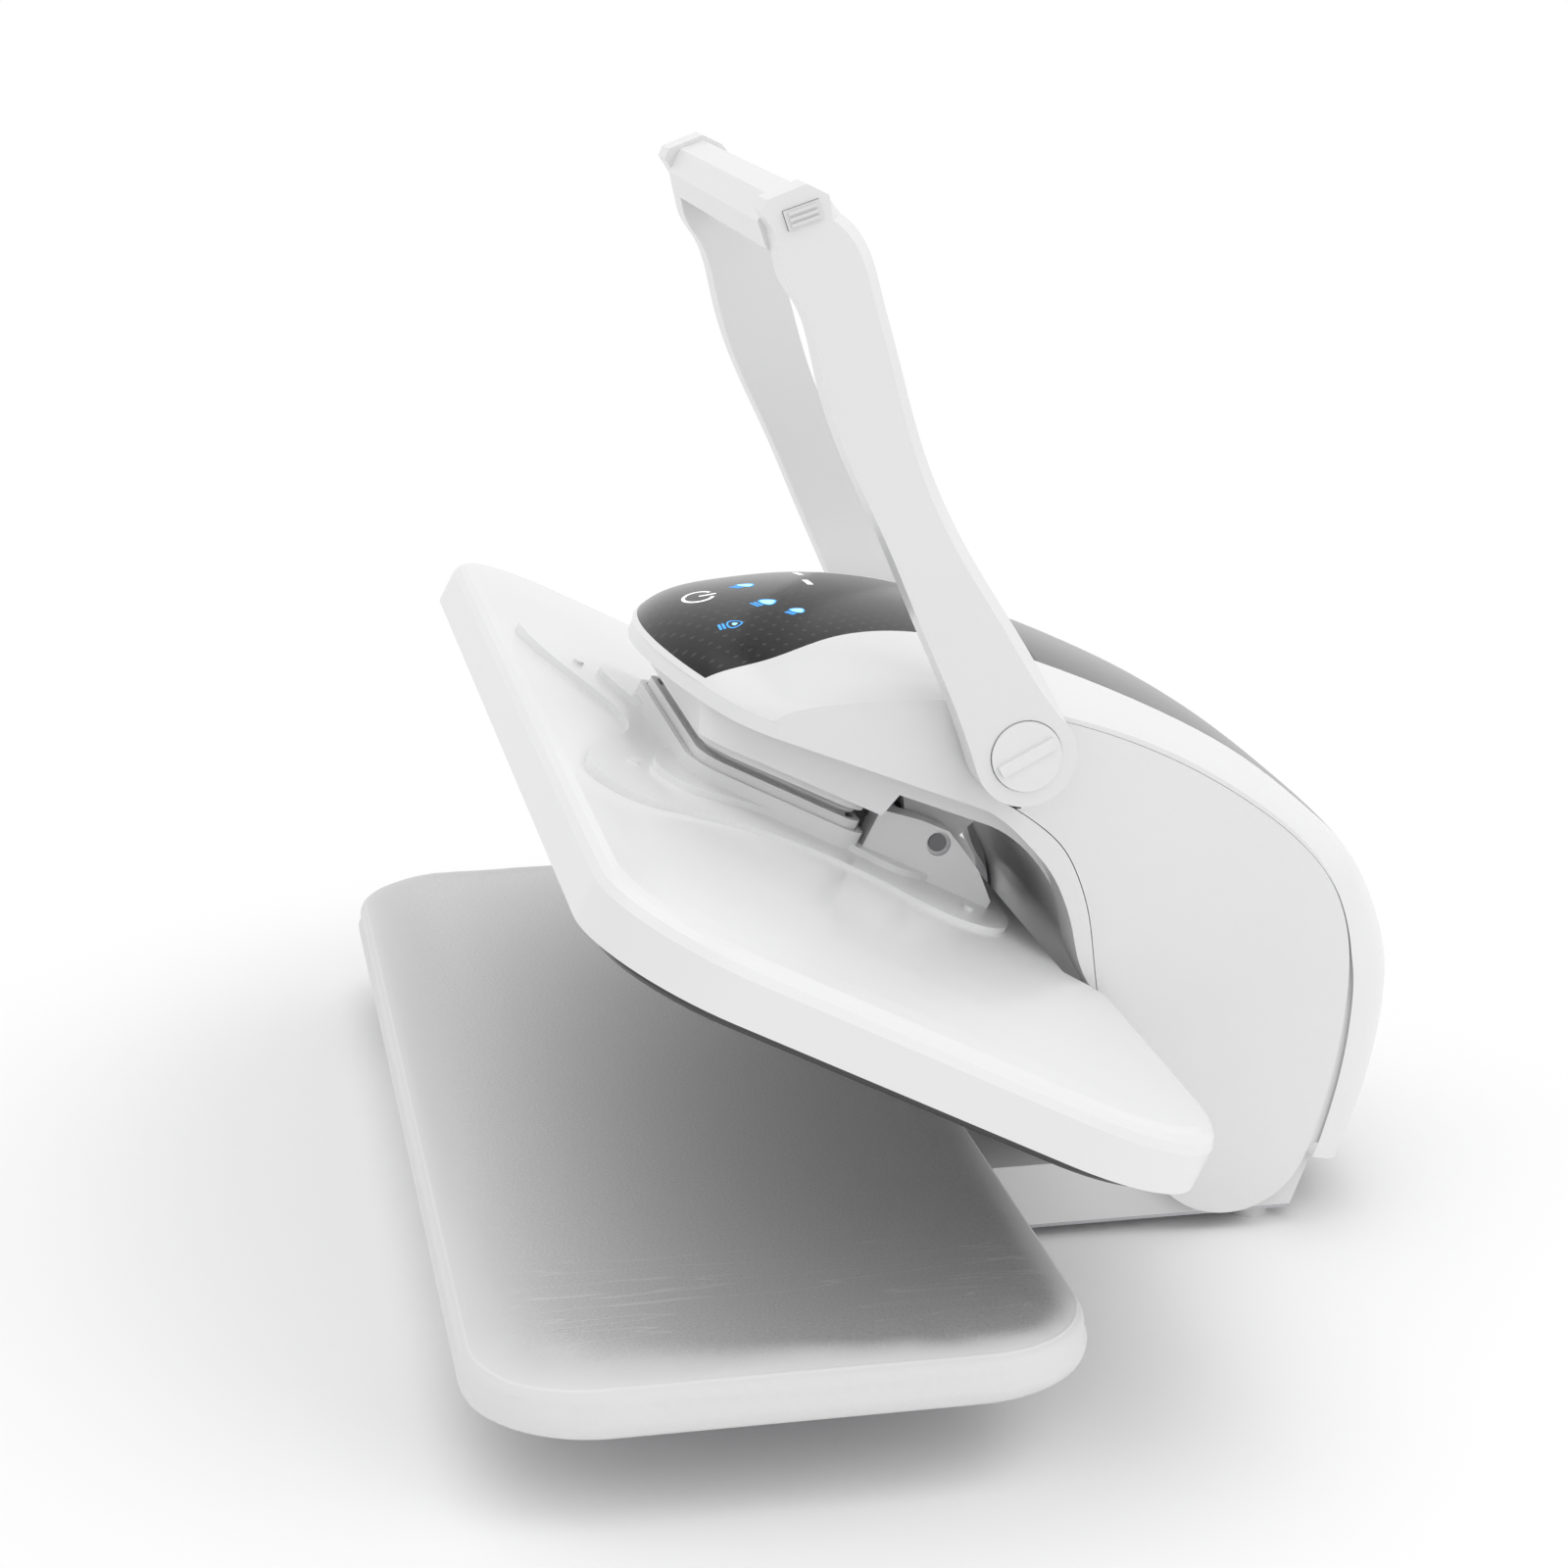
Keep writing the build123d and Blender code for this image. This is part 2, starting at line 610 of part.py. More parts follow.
    return {
        "nose_housing": nose,
        "control_panel": control_panel,
        "top_shell": shell,
        "spine_strip": spine_strip,
        "side_panel_right": panel,
        "side_panel_left": mirror(panel, Plane.YZ),
        "lower_housing": lower,
        "arm_frame_right": frame_plate,
        "arm_frame_left": mirror(frame_plate, Plane.YZ),
        "frame_tubes": tubes,
        "hinge_shaft": shaft,
        "handle_pins": both_sides(pins),
        "water_tank": water_tank,
        "water_pump": pump,
        "pump_hose": pump_hose,
        "control_board": control_board,
        "platen_hanger": both_sides(hanger),
        "skirt_upper": skirt_upper,
    }


# Heated platen


def cover_sections(inset):
    """Sections of the domed platen cover: an upright rim, a soft shoulder and a low dome."""
    rows = [
        (-52, 0.0), (-30, 0.4), (-26.5, 2.2), (-24, 5.5), (-22.8, 10.0),
        (-21.8, 24.0), (-20.8, 48.0), (-20, 76.0), (-19.6, 108.0),
    ]
    faces = []
    for level, draw in rows:
        height = level - inset
        if inset > 0 and level == rows[0][0]:
            height = level - 10
        front = PLATEN_FRONT + 0.7 * draw + inset
        rear = PLATEN_REAR - 0.62 * draw - inset
        corner_front = CORNER_FRONT - 0.25 * draw - inset
        corner_rear = CORNER_REAR - 0.45 * draw - inset
        plan = plan_face(PLATEN_HALF - draw - inset, front, rear, corner_front, corner_rear)
        faces.append(Pos(0, 0, height) * plan)
    return loft(faces, ruled=True)


def column_notch(wall):
    """The space that the cover leaves for the arm's column, or the same less one wall."""
    start, rear = 58 - 2 * wall, NOTCH_REAR - wall
    side = outline([(start, -19.5), (rear, -32), (rear, -90), (140, -90), (140, 10), (start, 10)])
    return upright(side, -NOTCH_HALF - wall, NOTCH_HALF + wall)


def island_plan(size):
    """The raised island under the arm's nose, with a lobe at each corner."""
    half = [
        (30, -140), (76, -160), (110, -170), (138, -169), (150, -158), (143, -136), (124, -107),
        (110, -78), (105, -52), (110, -26), (117, -6), (112, 16), (92, 36), (56, 46),
    ]
    right = [(x * size, (y + 60) * size - 60) for x, y in half]
    left = [(-x, y) for x, y in reversed(right)]
    front, rear = (0, -134 * size - 60 * (1 - size)), (0, 49 * size - 60 * (1 - size))
    return make_face(Spline(front, *right, rear, *left, front, periodic=False))


def platen_pieces():
    outer = cover_sections(0)
    inner = cover_sections(SKIN) - column_notch(WALL)
    below_rim = box_between((-400, -300, -90), (400, 200, RIM_UNDER))
    hose_hole = Pos(0, INLET_Y, -20) * Cylinder(15, 60)
    lug_slots = [
        box_between((x - LUG_HALF, -31, -30), (x + LUG_HALF, 34, 0)) for x in (-LUG_X, LUG_X)
    ]
    cover = outer - inner - below_rim - column_notch(0) - hose_hole - lug_slots

    island = Pos(0, 0, -40) * extrude(island_plan(1.0), ISLAND_TOP + 40)
    step = Pos(0, 0, -40) * extrude(island_plan(0.68), STEP_TOP + 40)
    island = island + step - outer - hose_hole - lug_slots

    lug = outline([(-31, -24), (34, -24), (34, -14), (23, -4), (13, 1.5), (2, 7), (-12, 6.5), (-31, 3.5)])
    lug_body = upright(lug, LUG_X - LUG_HALF, LUG_X + LUG_HALF) - rod(PIN_RADIUS, 0, 100)
    lug_body = lug_body - rod(PIN_RECESS, LUG_X + LUG_HALF - 3, LUG_X + LUG_HALF + 1)
    lugs = both_sides(lug_body)
    pin = rod(PIN_RADIUS, -LUG_X - LUG_HALF + 2, LUG_X + LUG_HALF - 2)

    half_x = PLATEN_HALF - SOLE_INSET
    front = PLATEN_FRONT + SOLE_INSET
    middle_y = (front + SOLE_REAR) / 2
    corners = (CORNER_FRONT - SOLE_INSET, CORNER_REAR - SOLE_INSET)
    plan = plan_face(half_x, front, SOLE_REAR, *corners)
    sole = Pos(0, 0, SOLE_UNDER) * extrude(plan, SOLE_TOP - SOLE_UNDER)
    sole = chamfer(sole.faces().sort_by(Axis.Z)[0].edges(), 1.2)
    steam_holes = [
        Pos(x, middle_y + y, SOLE_UNDER + 3) * Cylinder(STEAM_HOLE_RADIUS, 12)
        for x in range(-135, 136, 30)
        for y in (-20, 0, 20)
    ]
    sole = sole - steam_holes
    gasket_out = plan_face(half_x - 4, front + 4, SOLE_REAR - 4, corners[0] - 4, corners[1] - 4)
    gasket_in = plan_face(half_x - 12, front + 12, SOLE_REAR - 12, corners[0] - 12, corners[1] - 12)
    gasket = Pos(0, 0, SOLE_TOP) * (extrude(gasket_out, 3) - extrude(gasket_in, 3))

    loop = Wire(RectangleRounded(2 * half_x - 90, SOLE_REAR - front - 80, 40).wire().edges())
    loop = Pos(0, middle_y, SOLE_TOP + 4.2) * loop
    section = Plane(loop @ 0, z_dir=loop % 0) * Circle(4.0)
    element = sweep(section, path=loop)
    chamber = rounded(300, 70, 16, 16, (0, middle_y, SOLE_TOP))
    chamber = chamber - rounded(288, 58, 12, 11, (0, middle_y, SOLE_TOP))
    inlet = Pos(0, INLET_Y, SOLE_TOP + 16 + 9) * (Cylinder(9, 18) - Cylinder(5, 18))
    fuse_block = Pos(180, middle_y, SOLE_TOP + 5) * Cylinder(11, 10)
    fuse_cap = Pos(180, middle_y, SOLE_TOP + 12) * Cylinder(6, 4)
    thermostat = fuse_block + fuse_cap

    # Two short skirts, one inside the other, close the gap under the arm's belly.
    lower = ring(156, 88, 16, 8.5, (0, -77, ISLAND_TOP))
    upper = ring(149, 81, 13, 12.5, (0, -77, ISLAND_TOP))
    skirt_lower = lower + upper - step

    screw = Cylinder(2.6, 1.6)
    places = [(x, y) for x in (-88.0, 88.0) for y in (-146.0, 18.0)]
    screws = [Pos(x, y, ISLAND_TOP + 0.8) * screw for x, y in places]

    return {
        "platen_cover": cover,
        "platen_island": island,
        "pivot_lugs": lugs,
        "suspension_pin": pin,
        "sole_plate": sole,
        "sole_gasket": gasket,
        "heating_element": element,
        "steam_chamber": chamber,
        "steam_inlet": inlet,
        "thermostat": thermostat,
        "skirt_lower": skirt_lower,
        "island_screws": screws,
    }


# Handle


def foot_point(degrees):
    """A point on the round foot of the handle, and the way the outline runs there."""
    turn = math.radians(degrees)
    point = (HANDLE_FOOT * math.cos(turn), HANDLE_FOOT * math.sin(turn))
    return point, (math.sin(turn), -math.cos(turn))


def handle_face(draw):
    """Side view of one handle arm, its back edge drawn in by the width of the bevel."""
    start, start_way = foot_point(197)
    end = foot_point(26.6)[0]
    front = [(-32, 25), (-46, 58), (-60, 92), (-75, 125), (-86, 158), (-95, 189), (-103, 205)]
    head = [(-106, 219), (-111, 227), (-109, 231.5), (-93, 237.5), (-84, 233)]
    back = [(-78, 225), (-68, 214), (-61, 193), (-55, 171), (-44, 131), (-25, 88), (-5, 55), (8, 33)]
    inner_back = [(y - 0.93 * draw, z - 0.37 * draw) for y, z in back]
    edges = [
        Spline(start, *front, tangents=(start_way, (-0.15, 0.98))),
        Polyline(front[-1], *head, inner_back[0]),
        Spline(*inner_back, end),
        ThreePointArc(end, (0, -HANDLE_FOOT), start),
    ]
    return make_face(edges)


def octagon(flats):
    """An eight-sided face about the grip's centre."""
    return Pos(*GRIP_CENTRE) * RegularPolygon(flats / 2, 8, major_radius=False, rotation=22.5 + 18)


def handle_pieces():
    bevel_x = HANDLE_OUTER - 1.6 * BEVEL
    side = upright(handle_face(0), HANDLE_INNER, bevel_x)
    side = side + loft([side_view(handle_face(0), bevel_x), side_view(handle_face(BEVEL), HANDLE_OUTER)], ruled=True)
    latch_at = (GRIP_CENTRE[0] - 0.5, GRIP_CENTRE[1] + 5.5)
    pocket = Pos(HANDLE_OUTER - 3, *latch_at) * Rot(18, 0, 0) * Box(6.1, 15.4, 8.4)
    cap_hole = rod(CAP_RADIUS, HANDLE_OUTER - 1.5, HANDLE_OUTER + 1)
    side = side - rod(HANDLE_PIN_RADIUS + RUNNING_GAP, 100, 140) - cap_hole - pocket
    cap = rod(CAP_RADIUS - 0.4, HANDLE_OUTER - 1.5, HANDLE_OUTER + 1.2)
    bar = Pos(HANDLE_OUTER + 2, 0, 0) * Rot(27, 0, 0) * Box(2.4, 26, 5)
    cap = cap + bar
    grip = upright(octagon(GRIP_FLATS), -HANDLE_INNER, HANDLE_INNER)
    latch = Box(4, 15, 8)
    ribs = [Pos(2.3, 0, z) * Box(1.2, 12, 1.3) for z in (-2.4, 0.0, 2.4)]
    latch = Pos(HANDLE_OUTER - 0.4, *latch_at) * Rot(18, 0, 0) * (latch + ribs)
    return {
        "handle_right": side,
        "handle_left": mirror(side, Plane.YZ),
        "grip": grip,
        "pivot_cap_right": cap,
        "pivot_cap_left": mirror(cap, Plane.YZ),
        "latch_button_right": latch,
        "latch_button_left": mirror(latch, Plane.YZ),
    }


def placed(frame, pieces):
    """Puts each piece of a body where its frame is; a list is a group of solids."""
    result = {}
    for name, shape in pieces.items():
        if isinstance(shape, (list, tuple)):
            solids = [solid for item in shape for solid in item.solids()]
            result[name] = Compound([frame * solid for solid in solids])
        else:
            result[name] = frame * shape
    return result


def main():
    os.makedirs("parts", exist_ok=True)
    middle = Pos(0, -MIDDLE_Y, 0)
    press = {}
    press.update(placed(middle, board_pieces()))
    press.update(placed(middle, base_pieces()))
    press.update(placed(middle * ARM_FRAME, arm_pieces()))
    press.update(placed(middle * PLATEN_FRAME, platen_pieces()))
    press.update(placed(middle * HANDLE_FRAME, handle_pieces()))
    for name, shape in press.items():
        export_step(shape, f"parts/{name}.step")
    whole = Compound([solid for shape in press.values() for solid in shape.solids()])
    size = whole.bounding_box()
    print("pieces", len(press), "from", size.min, "to", size.max)


main()
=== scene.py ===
# %% [markdown]
# # Steam ironing press
#
# A table-top press, open, with a padded board, a heated platen on a hinged
# arm and a U-shaped handle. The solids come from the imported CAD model. This
# script gives them their finishes, makes the soft board and the small detail
# that the solids leave out, and lights the result. Lengths are in metres.

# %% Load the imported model
import math

import bmesh
import bpy
from mathutils import Matrix, Vector
from mathutils.bvhtree import BVHTree


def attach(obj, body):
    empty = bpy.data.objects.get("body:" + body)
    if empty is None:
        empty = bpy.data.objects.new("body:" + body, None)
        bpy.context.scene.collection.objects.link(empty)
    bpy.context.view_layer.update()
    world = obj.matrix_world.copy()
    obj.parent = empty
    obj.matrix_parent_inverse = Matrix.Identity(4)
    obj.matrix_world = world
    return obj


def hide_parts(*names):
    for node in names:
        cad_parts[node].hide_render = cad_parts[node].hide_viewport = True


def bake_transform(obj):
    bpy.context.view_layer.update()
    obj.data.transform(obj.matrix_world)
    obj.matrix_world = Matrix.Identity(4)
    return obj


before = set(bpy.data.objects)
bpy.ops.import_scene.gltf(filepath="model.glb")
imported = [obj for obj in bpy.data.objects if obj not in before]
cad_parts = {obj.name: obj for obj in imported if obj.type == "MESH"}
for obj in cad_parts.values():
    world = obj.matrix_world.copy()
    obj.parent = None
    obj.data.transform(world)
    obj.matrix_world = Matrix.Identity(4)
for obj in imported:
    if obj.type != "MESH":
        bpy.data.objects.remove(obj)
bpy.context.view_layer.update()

# %% [markdown]
# ## Places on the press
#
# The arm is drawn with its lip level and its round heel at the origin, and
# the platen with its suspension pin at the origin. Pieces that belong to them
# are easier to design in those directions, so two small helpers turn such a
# place into a place in the room. The numbers are the CAD model's own.

# %% Helpers for places on the arm and on the platen
MM = 0.001
ARM_TILT = math.radians(22.0)
PLATEN_TILT = math.radians(27.3)
ARM_HEEL = Vector((0.0, 0.13365, 0.047))
PLATEN_PIN = Vector((0.0, 0.008938, 0.17612))


def tilted(origin, tilt, x, along, up):
    """A point given in a tilted frame, in millimetres, as a place in the room."""
    y = along * math.cos(tilt) + up * math.sin(tilt)
    z = up * math.cos(tilt) - along * math.sin(tilt)
    return origin + Vector((x, y, z)) * MM


def on_arm(x, along, up):
    return tilted(ARM_HEEL, ARM_TILT, x, along, up)


def on_platen(x, along, up):
    return tilted(PLATEN_PIN, PLATEN_TILT, x, along, up)


def in_scene(name, data):
    """A new object with that data, linked to the scene."""
    made = bpy.data.objects.new(name, data)
    bpy.context.scene.collection.objects.link(made)
    return made


ARM_UP = Vector((0.0, math.sin(ARM_TILT), math.cos(ARM_TILT)))
print("hinge end of the arm", on_arm(0, 0, 0))

# %% [markdown]
# ## Camera
#
# The view is from the right-hand end of the board, a little above it, through
# a fairly long lens, so that near and far parts keep nearly the same size.
# The camera's axes are built from its compass angle, its height angle and a
# small roll.

# %% Set the camera
VIEW_AZIMUTH = math.radians(79.0)
VIEW_ELEVATION = math.radians(15.9)
VIEW_ROLL = math.radians(-0.2)
VIEW_PLACE = (1.3864, -0.31655, 0.5904)
FOCAL_LENGTH = 74.25

forward = Vector((
    -math.sin(VIEW_AZIMUTH) * math.cos(VIEW_ELEVATION),
    math.cos(VIEW_AZIMUTH) * math.cos(VIEW_ELEVATION),
    -math.sin(VIEW_ELEVATION),
))
level = Vector((math.cos(VIEW_AZIMUTH), math.sin(VIEW_AZIMUTH), 0.0))
upright = level.cross(forward)
right = level * math.cos(VIEW_ROLL) + upright * math.sin(VIEW_ROLL)
upward = right.cross(forward)

lens_data = bpy.data.cameras.new("camera")
lens_data.lens = FOCAL_LENGTH
lens_data.sensor_width = 36.0
lens_data.clip_start = 0.05
camera = in_scene("camera", lens_data)
turn = Matrix((right, upward, -forward)).transposed().to_4x4()
camera.matrix_world = Matrix.Translation(VIEW_PLACE) @ turn
bpy.context.scene.camera = camera
print("camera looks along", forward)

# %% [markdown]
# ## Writing finishes as sums
#
# A finish is a tree of shader nodes. Written node by node, even a simple
# pattern takes a page. Here a socket is wrapped in a small class whose
# operators add Math nodes, so a pattern reads like the formula behind it.
# One method, `node`, makes every other kind of node.

# %% A socket that can be used in sums
class Signal:
    """An output socket of a finish; sums with it add Math nodes."""

    def __init__(self, finish, socket):
        self.finish = finish
        self.socket = socket

    def math(self, operation, *others):
        return self.finish.node("ShaderNodeMath", {"operation": operation}, [self, *others])

    def __add__(self, other):
        return self.math("ADD", other)

    def __sub__(self, other):
        return self.math("SUBTRACT", other)

    def __mul__(self, other):
        return self.math("MULTIPLY", other)

    def __truediv__(self, other):
        return self.math("DIVIDE", other)

    def __rsub__(self, other):
        return self.finish.node("ShaderNodeMath", {"operation": "SUBTRACT"}, [other, self])

    __radd__ = __add__
    __rmul__ = __mul__

    def larger(self, other):
        return self.math("MAXIMUM", other)

    def size(self):
        return self.math("ABSOLUTE")

    def wave(self, length):
        """A sine wave of that length, from -1 to 1."""
        return (self * (2 * math.pi / length)).math("SINE")

    def between(self, start, end):
        """Rises smoothly from 0 at start to 1 at end."""
        settings = {"interpolation_type": "SMOOTHSTEP"}
        return self.finish.node("ShaderNodeMapRange", settings, {0: self, 1: start, 2: end})


# %% A finish: one material and its shader
class Finish:
    """One material with its Principled shader."""

    def __init__(self, name, colour, roughness, **constants):
        self.material = bpy.data.materials.new(name)
        self.material.use_nodes = True
        self.tree = self.material.node_tree
        self.shader = self.tree.nodes["Principled BSDF"]
        self.set("Base Color", (*colour, 1.0))
        self.set("Roughness", roughness)
        for socket, value in constants.items():
            self.set(socket.replace("_", " "), value)
        self.material.diffuse_color = (*colour, 1.0)

    def set(self, socket, value):
        """Gives one of the shader's sockets a signal or a constant."""
        if isinstance(value, Signal):
            self.tree.links.new(value.socket, self.shader.inputs[socket])
        else:
            self.shader.inputs[socket].default_value = value

    def node(self, kind, settings=None, inputs=(), output=0):
        """Adds a node: its settings first, then its inputs by number or name."""
        made = self.tree.nodes.new(kind)
        for key, value in (settings or {}).items():
            if key == "stops":
                ramp = made.color_ramp.elements
                while len(ramp) < len(value):
                    ramp.new(0.5)
                for stop, (place, shade) in zip(ramp, value):
                    stop.position = place
                    stop.color = (shade, shade, shade, 1.0)
            else:
                setattr(made, key, value)
        pairs = inputs.items() if isinstance(inputs, dict) else enumerate(inputs)
        for key, value in pairs:
            if isinstance(value, Signal):
                self.tree.links.new(value.socket, made.inputs[key])
            else:
                made.inputs[key].default_value = value
        return Signal(self, made.outputs[output])

    def place(self, turn=(0.0, 0.0, 0.0), scale=(1.0, 1.0, 1.0)):
        """Object coordinates, turned and stretched."""
        spot = self.node("ShaderNodeTexCoord", output="Object")
        inputs = {"Vector": spot, "Rotation": turn, "Scale": scale}
        return self.node("ShaderNodeMapping", None, inputs)

    def axes(self, spot):
        """The X, Y and Z of a place as three signals."""
        split = self.node("ShaderNodeSeparateXYZ", None, [spot])
        outputs = split.socket.node.outputs
        return [Signal(self, outputs[index]) for index in range(3)]

    def noise(self, grain, detail=2.0, spot=None):
        """Noise whose grains are about that many metres across."""
        spot = spot or self.place()
        return self.node("ShaderNodeTexNoise", None, {"Vector": spot, "Scale": 1.0 / grain, "Detail": detail})

    def mix(self, share, first, second):
        """A colour between two colours or colour signals."""
        settings = {"data_type": "RGBA"}
        fixed = [colour if isinstance(colour, Signal) else (*colour, 1.0) for colour in (first, second)]
        return self.node("ShaderNodeMix", settings, {0: share, 6: fixed[0], 7: fixed[1]}, output=2)

    def bump(self, height, depth, strength=1.0):
        """Raises the surface by height times depth metres, in the shading only."""
        inputs = {"Height": height, "Distance": depth, "Strength": strength}
        self.set("Normal", self.node("ShaderNodeBump", None, inputs))


def shaded(colour, factor):
    """A colour made lighter or darker."""
    return tuple(min(channel * factor, 1.0) for channel in colour)


def dress(finish, *nodes):
    """Gives a finish to all the material slots of CAD nodes."""
    for name in nodes:
        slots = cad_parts[name].data.materials
        for index in range(len(slots)):
            slots[index] = finish.material
        if len(slots) == 0:
            slots.append(finish.material)
    print(finish.material.name, "on", ", ".join(nodes))


# %% [markdown]
# ## Moulded plastic
#
# The housings are glossy white plastic, the side panels a flatter, slightly
# greyer one. A mould leaves a very fine orange-peel texture and hardly any
# change of colour. Both come from noise in Object coordinates: a fine one for
# the bump, and a slow one that shifts colour and roughness by a few percent.

# %% White and grey plastic
def moulded(name, colour, roughness, peel=0.00001, spread=0.02, coat=0.0):
    finish = Finish(name, colour, roughness, Coat_Weight=coat, Coat_Roughness=0.12, IOR=1.46)
    slow = finish.noise(0.09)
    finish.set("Base Color", finish.mix(slow, shaded(colour, 1 - spread), shaded(colour, 1 + spread)))
    finish.set("Roughness", slow * 0.06 + (roughness - 0.03))
    finish.bump(finish.noise(0.0016, 3.0), peel)
    return finish


WHITE = (0.79, 0.79, 0.795)
white_plastic = moulded("white plastic", WHITE, 0.30, coat=0.25)
handle_plastic = moulded("handle plastic", (0.77, 0.77, 0.77), 0.34, coat=0.2)
panel_plastic = moulded("panel plastic", (0.79, 0.79, 0.79), 0.42, peel=0.00003)
base_plastic = moulded("base plastic", (0.77, 0.77, 0.77), 0.4, peel=0.00003)
latch_plastic = moulded("latch plastic", (0.70, 0.70, 0.70), 0.38)
dress(white_plastic, "nose_housing", "top_shell", "lower_housing", "platen_cover", "platen_island",
      "island_screws", "pivot_lugs", "pivot_cap_left", "pivot_cap_right", "skirt_upper", "steam_inlet")
dress(handle_plastic, "handle_left", "handle_right", "grip")
dress(panel_plastic, "side_panel_left", "side_panel_right")
dress(base_plastic, "base_housing", "base_rear_cover", "skirt_lower")
dress(latch_plastic, "latch_button_left", "latch_button_right")

# %% [markdown]
# ## Smoked lens and spine strip
#
# The lens over the controls is smoked plastic with a screen of fine dots
# printed under it. The dots sit on a square grid, turned a little in the
# plane of the arm's lip: a sine along each of two crossed directions,
# multiplied and cut off near its top, gives round dots. The strip down the
# spine is smoked too, has no dots and reflects a little more.

# %% Smoked lens
DOT_PITCH = 0.0062
DOT_TURN = math.radians(27.0)
SMOKE = (0.014, 0.014, 0.0145)
SMOKE_ROUGHNESS = 0.20


def smoked(name, dots, index):
    """Smoked plastic with that index of refraction, with or without dots."""
    finish = Finish(name, SMOKE, SMOKE_ROUGHNESS, IOR=index)
    haze = finish.noise(0.05)
    colour = finish.mix(haze, shaded(SMOKE, 0.92), shaded(SMOKE, 1.08))
    if dots:
        across, along, _ = finish.axes(finish.place(turn=(ARM_TILT, 0.0, 0.0)))
        first = (across * math.cos(DOT_TURN) + along * math.sin(DOT_TURN)).wave(DOT_PITCH * 2)
        second = (along * math.cos(DOT_TURN) - across * math.sin(DOT_TURN)).wave(DOT_PITCH * 2)
        dot = (first * second).size().between(0.82, 0.95)
        colour = finish.mix(dot, colour, shaded(SMOKE, 3.2))
    finish.set("Base Color", colour)
    finish.bump(finish.noise(0.0009, 2.0), 0.000002)
    return finish


lens_finish = smoked("smoked lens", True, 1.27)
strip_finish = smoked("spine strip", False, 1.46)
dress(lens_finish, "control_panel")
dress(strip_finish, "spine_strip")

# %% [markdown]
# ## Metals and inner parts
#
# Sheet metal shows the grain of its rolling, cast metal a fine sand texture,
# and turned pins rings round their length. Each grain is noise stretched by
# a Mapping node, so that it is long one way and fine the other.

# %% Metals
def metal(name, colour, roughness, stretch, depth, spread=0.12):
    finish = Finish(name, colour, roughness, Metallic=1.0)
    grain = finish.noise(0.002, 4.0, finish.place(scale=stretch))
    finish.set("Base Color", finish.mix(grain, shaded(colour, 1 - spread), shaded(colour, 1 + spread)))
    finish.set("Roughness", grain * 0.16 + (roughness - 0.08))
    finish.bump(grain, depth)
    return finish


zinc = metal("zinc sheet", (0.56, 0.56, 0.58), 0.38, (0.1, 1.0, 1.0), 0.00002)
turned = metal("turned steel", (0.46, 0.46, 0.48), 0.28, (2.0, 0.1, 0.1), 0.00001)
cast = metal("cast aluminium", (0.60, 0.60, 0.61), 0.5, (1.0, 1.0, 1.0), 0.00008)
sheath = metal("heater sheath", (0.34, 0.32, 0.30), 0.42, (0.2, 1.0, 1.0), 0.00002)
bronze = metal("sintered bronze", (0.60, 0.42, 0.20), 0.45, (1.0, 1.0, 1.0), 0.00004)
# Near-black steel for the suspension pin: painted shade, standing for the dark hole in the lug that it sits
# in.
darkened = metal("blackened steel", (0.16, 0.16, 0.165), 0.40, (2.0, 0.1, 0.1), 0.00002)
dress(zinc, "base_pan", "board_plate", "hinge_bracket_left", "hinge_bracket_right")
dress(turned, "hinge_shaft", "handle_pins", "lift_springs")
dress(darkened, "suspension_pin")
dress(cast, "steam_chamber")
dress(sheath, "heating_element")
dress(bronze, "hinge_bushes")

# %% Sole of the platen, with its dark non-stick coat
sole_coat = Finish("sole coat", (0.070, 0.070, 0.072), 0.36, Metallic=0.35, IOR=1.5)
fleck = sole_coat.noise(0.0007, 3.0)
wide = sole_coat.noise(0.03)
sole_coat.set("Base Color", sole_coat.mix(fleck, (0.060, 0.060, 0.062), (0.090, 0.090, 0.092)))
sole_coat.set("Roughness", wide * 0.10 + 0.30)
sole_coat.bump(fleck, 0.00002)
dress(sole_coat, "sole_plate")

# %% Rubber, silicone, tank, circuit boards and other inner finishes
def plain(name, colour, roughness, grain=0.002, depth=0.00003, spread=0.05, **constants):
    finish = Finish(name, colour, roughness, **constants)
    speck = finish.noise(grain, 3.0)
    finish.set("Base Color", finish.mix(speck, shaded(colour, 1 - spread), shaded(colour, 1 + spread)))
    finish.set("Roughness", speck * 0.1 + (roughness - 0.05))
    finish.bump(speck, depth)
    return finish


foot_rubber = plain("foot rubber", (0.66, 0.66, 0.66), 0.7)
black_rubber = plain("black rubber", (0.02, 0.02, 0.021), 0.6)
silicone = plain("silicone", (0.62, 0.60, 0.56), 0.45)
tank_plastic = plain("tank plastic", (0.55, 0.62, 0.68), 0.3, grain=0.02)
pump_plastic = plain("pump plastic", (0.02, 0.02, 0.021), 0.5)
laminate = plain("circuit laminate", (0.02, 0.10, 0.04), 0.4, grain=0.004, spread=0.3)
phenolic = plain("phenolic", (0.30, 0.24, 0.16), 0.55)
white_paint = plain("white paint", (0.76, 0.76, 0.76), 0.4, grain=0.001, depth=0.00001, spread=0.02)
dress(white_paint, "arm_frame_left", "arm_frame_right", "frame_tubes", "platen_hanger")
dress(foot_rubber, "rubber_feet")
dress(black_rubber, "cord_gland")
dress(silicone, "pump_hose", "sole_gasket")
dress(tank_plastic, "water_tank")
dress(pump_plastic, "water_pump")
dress(laminate, "power_board", "control_board")
dress(phenolic, "thermostat")
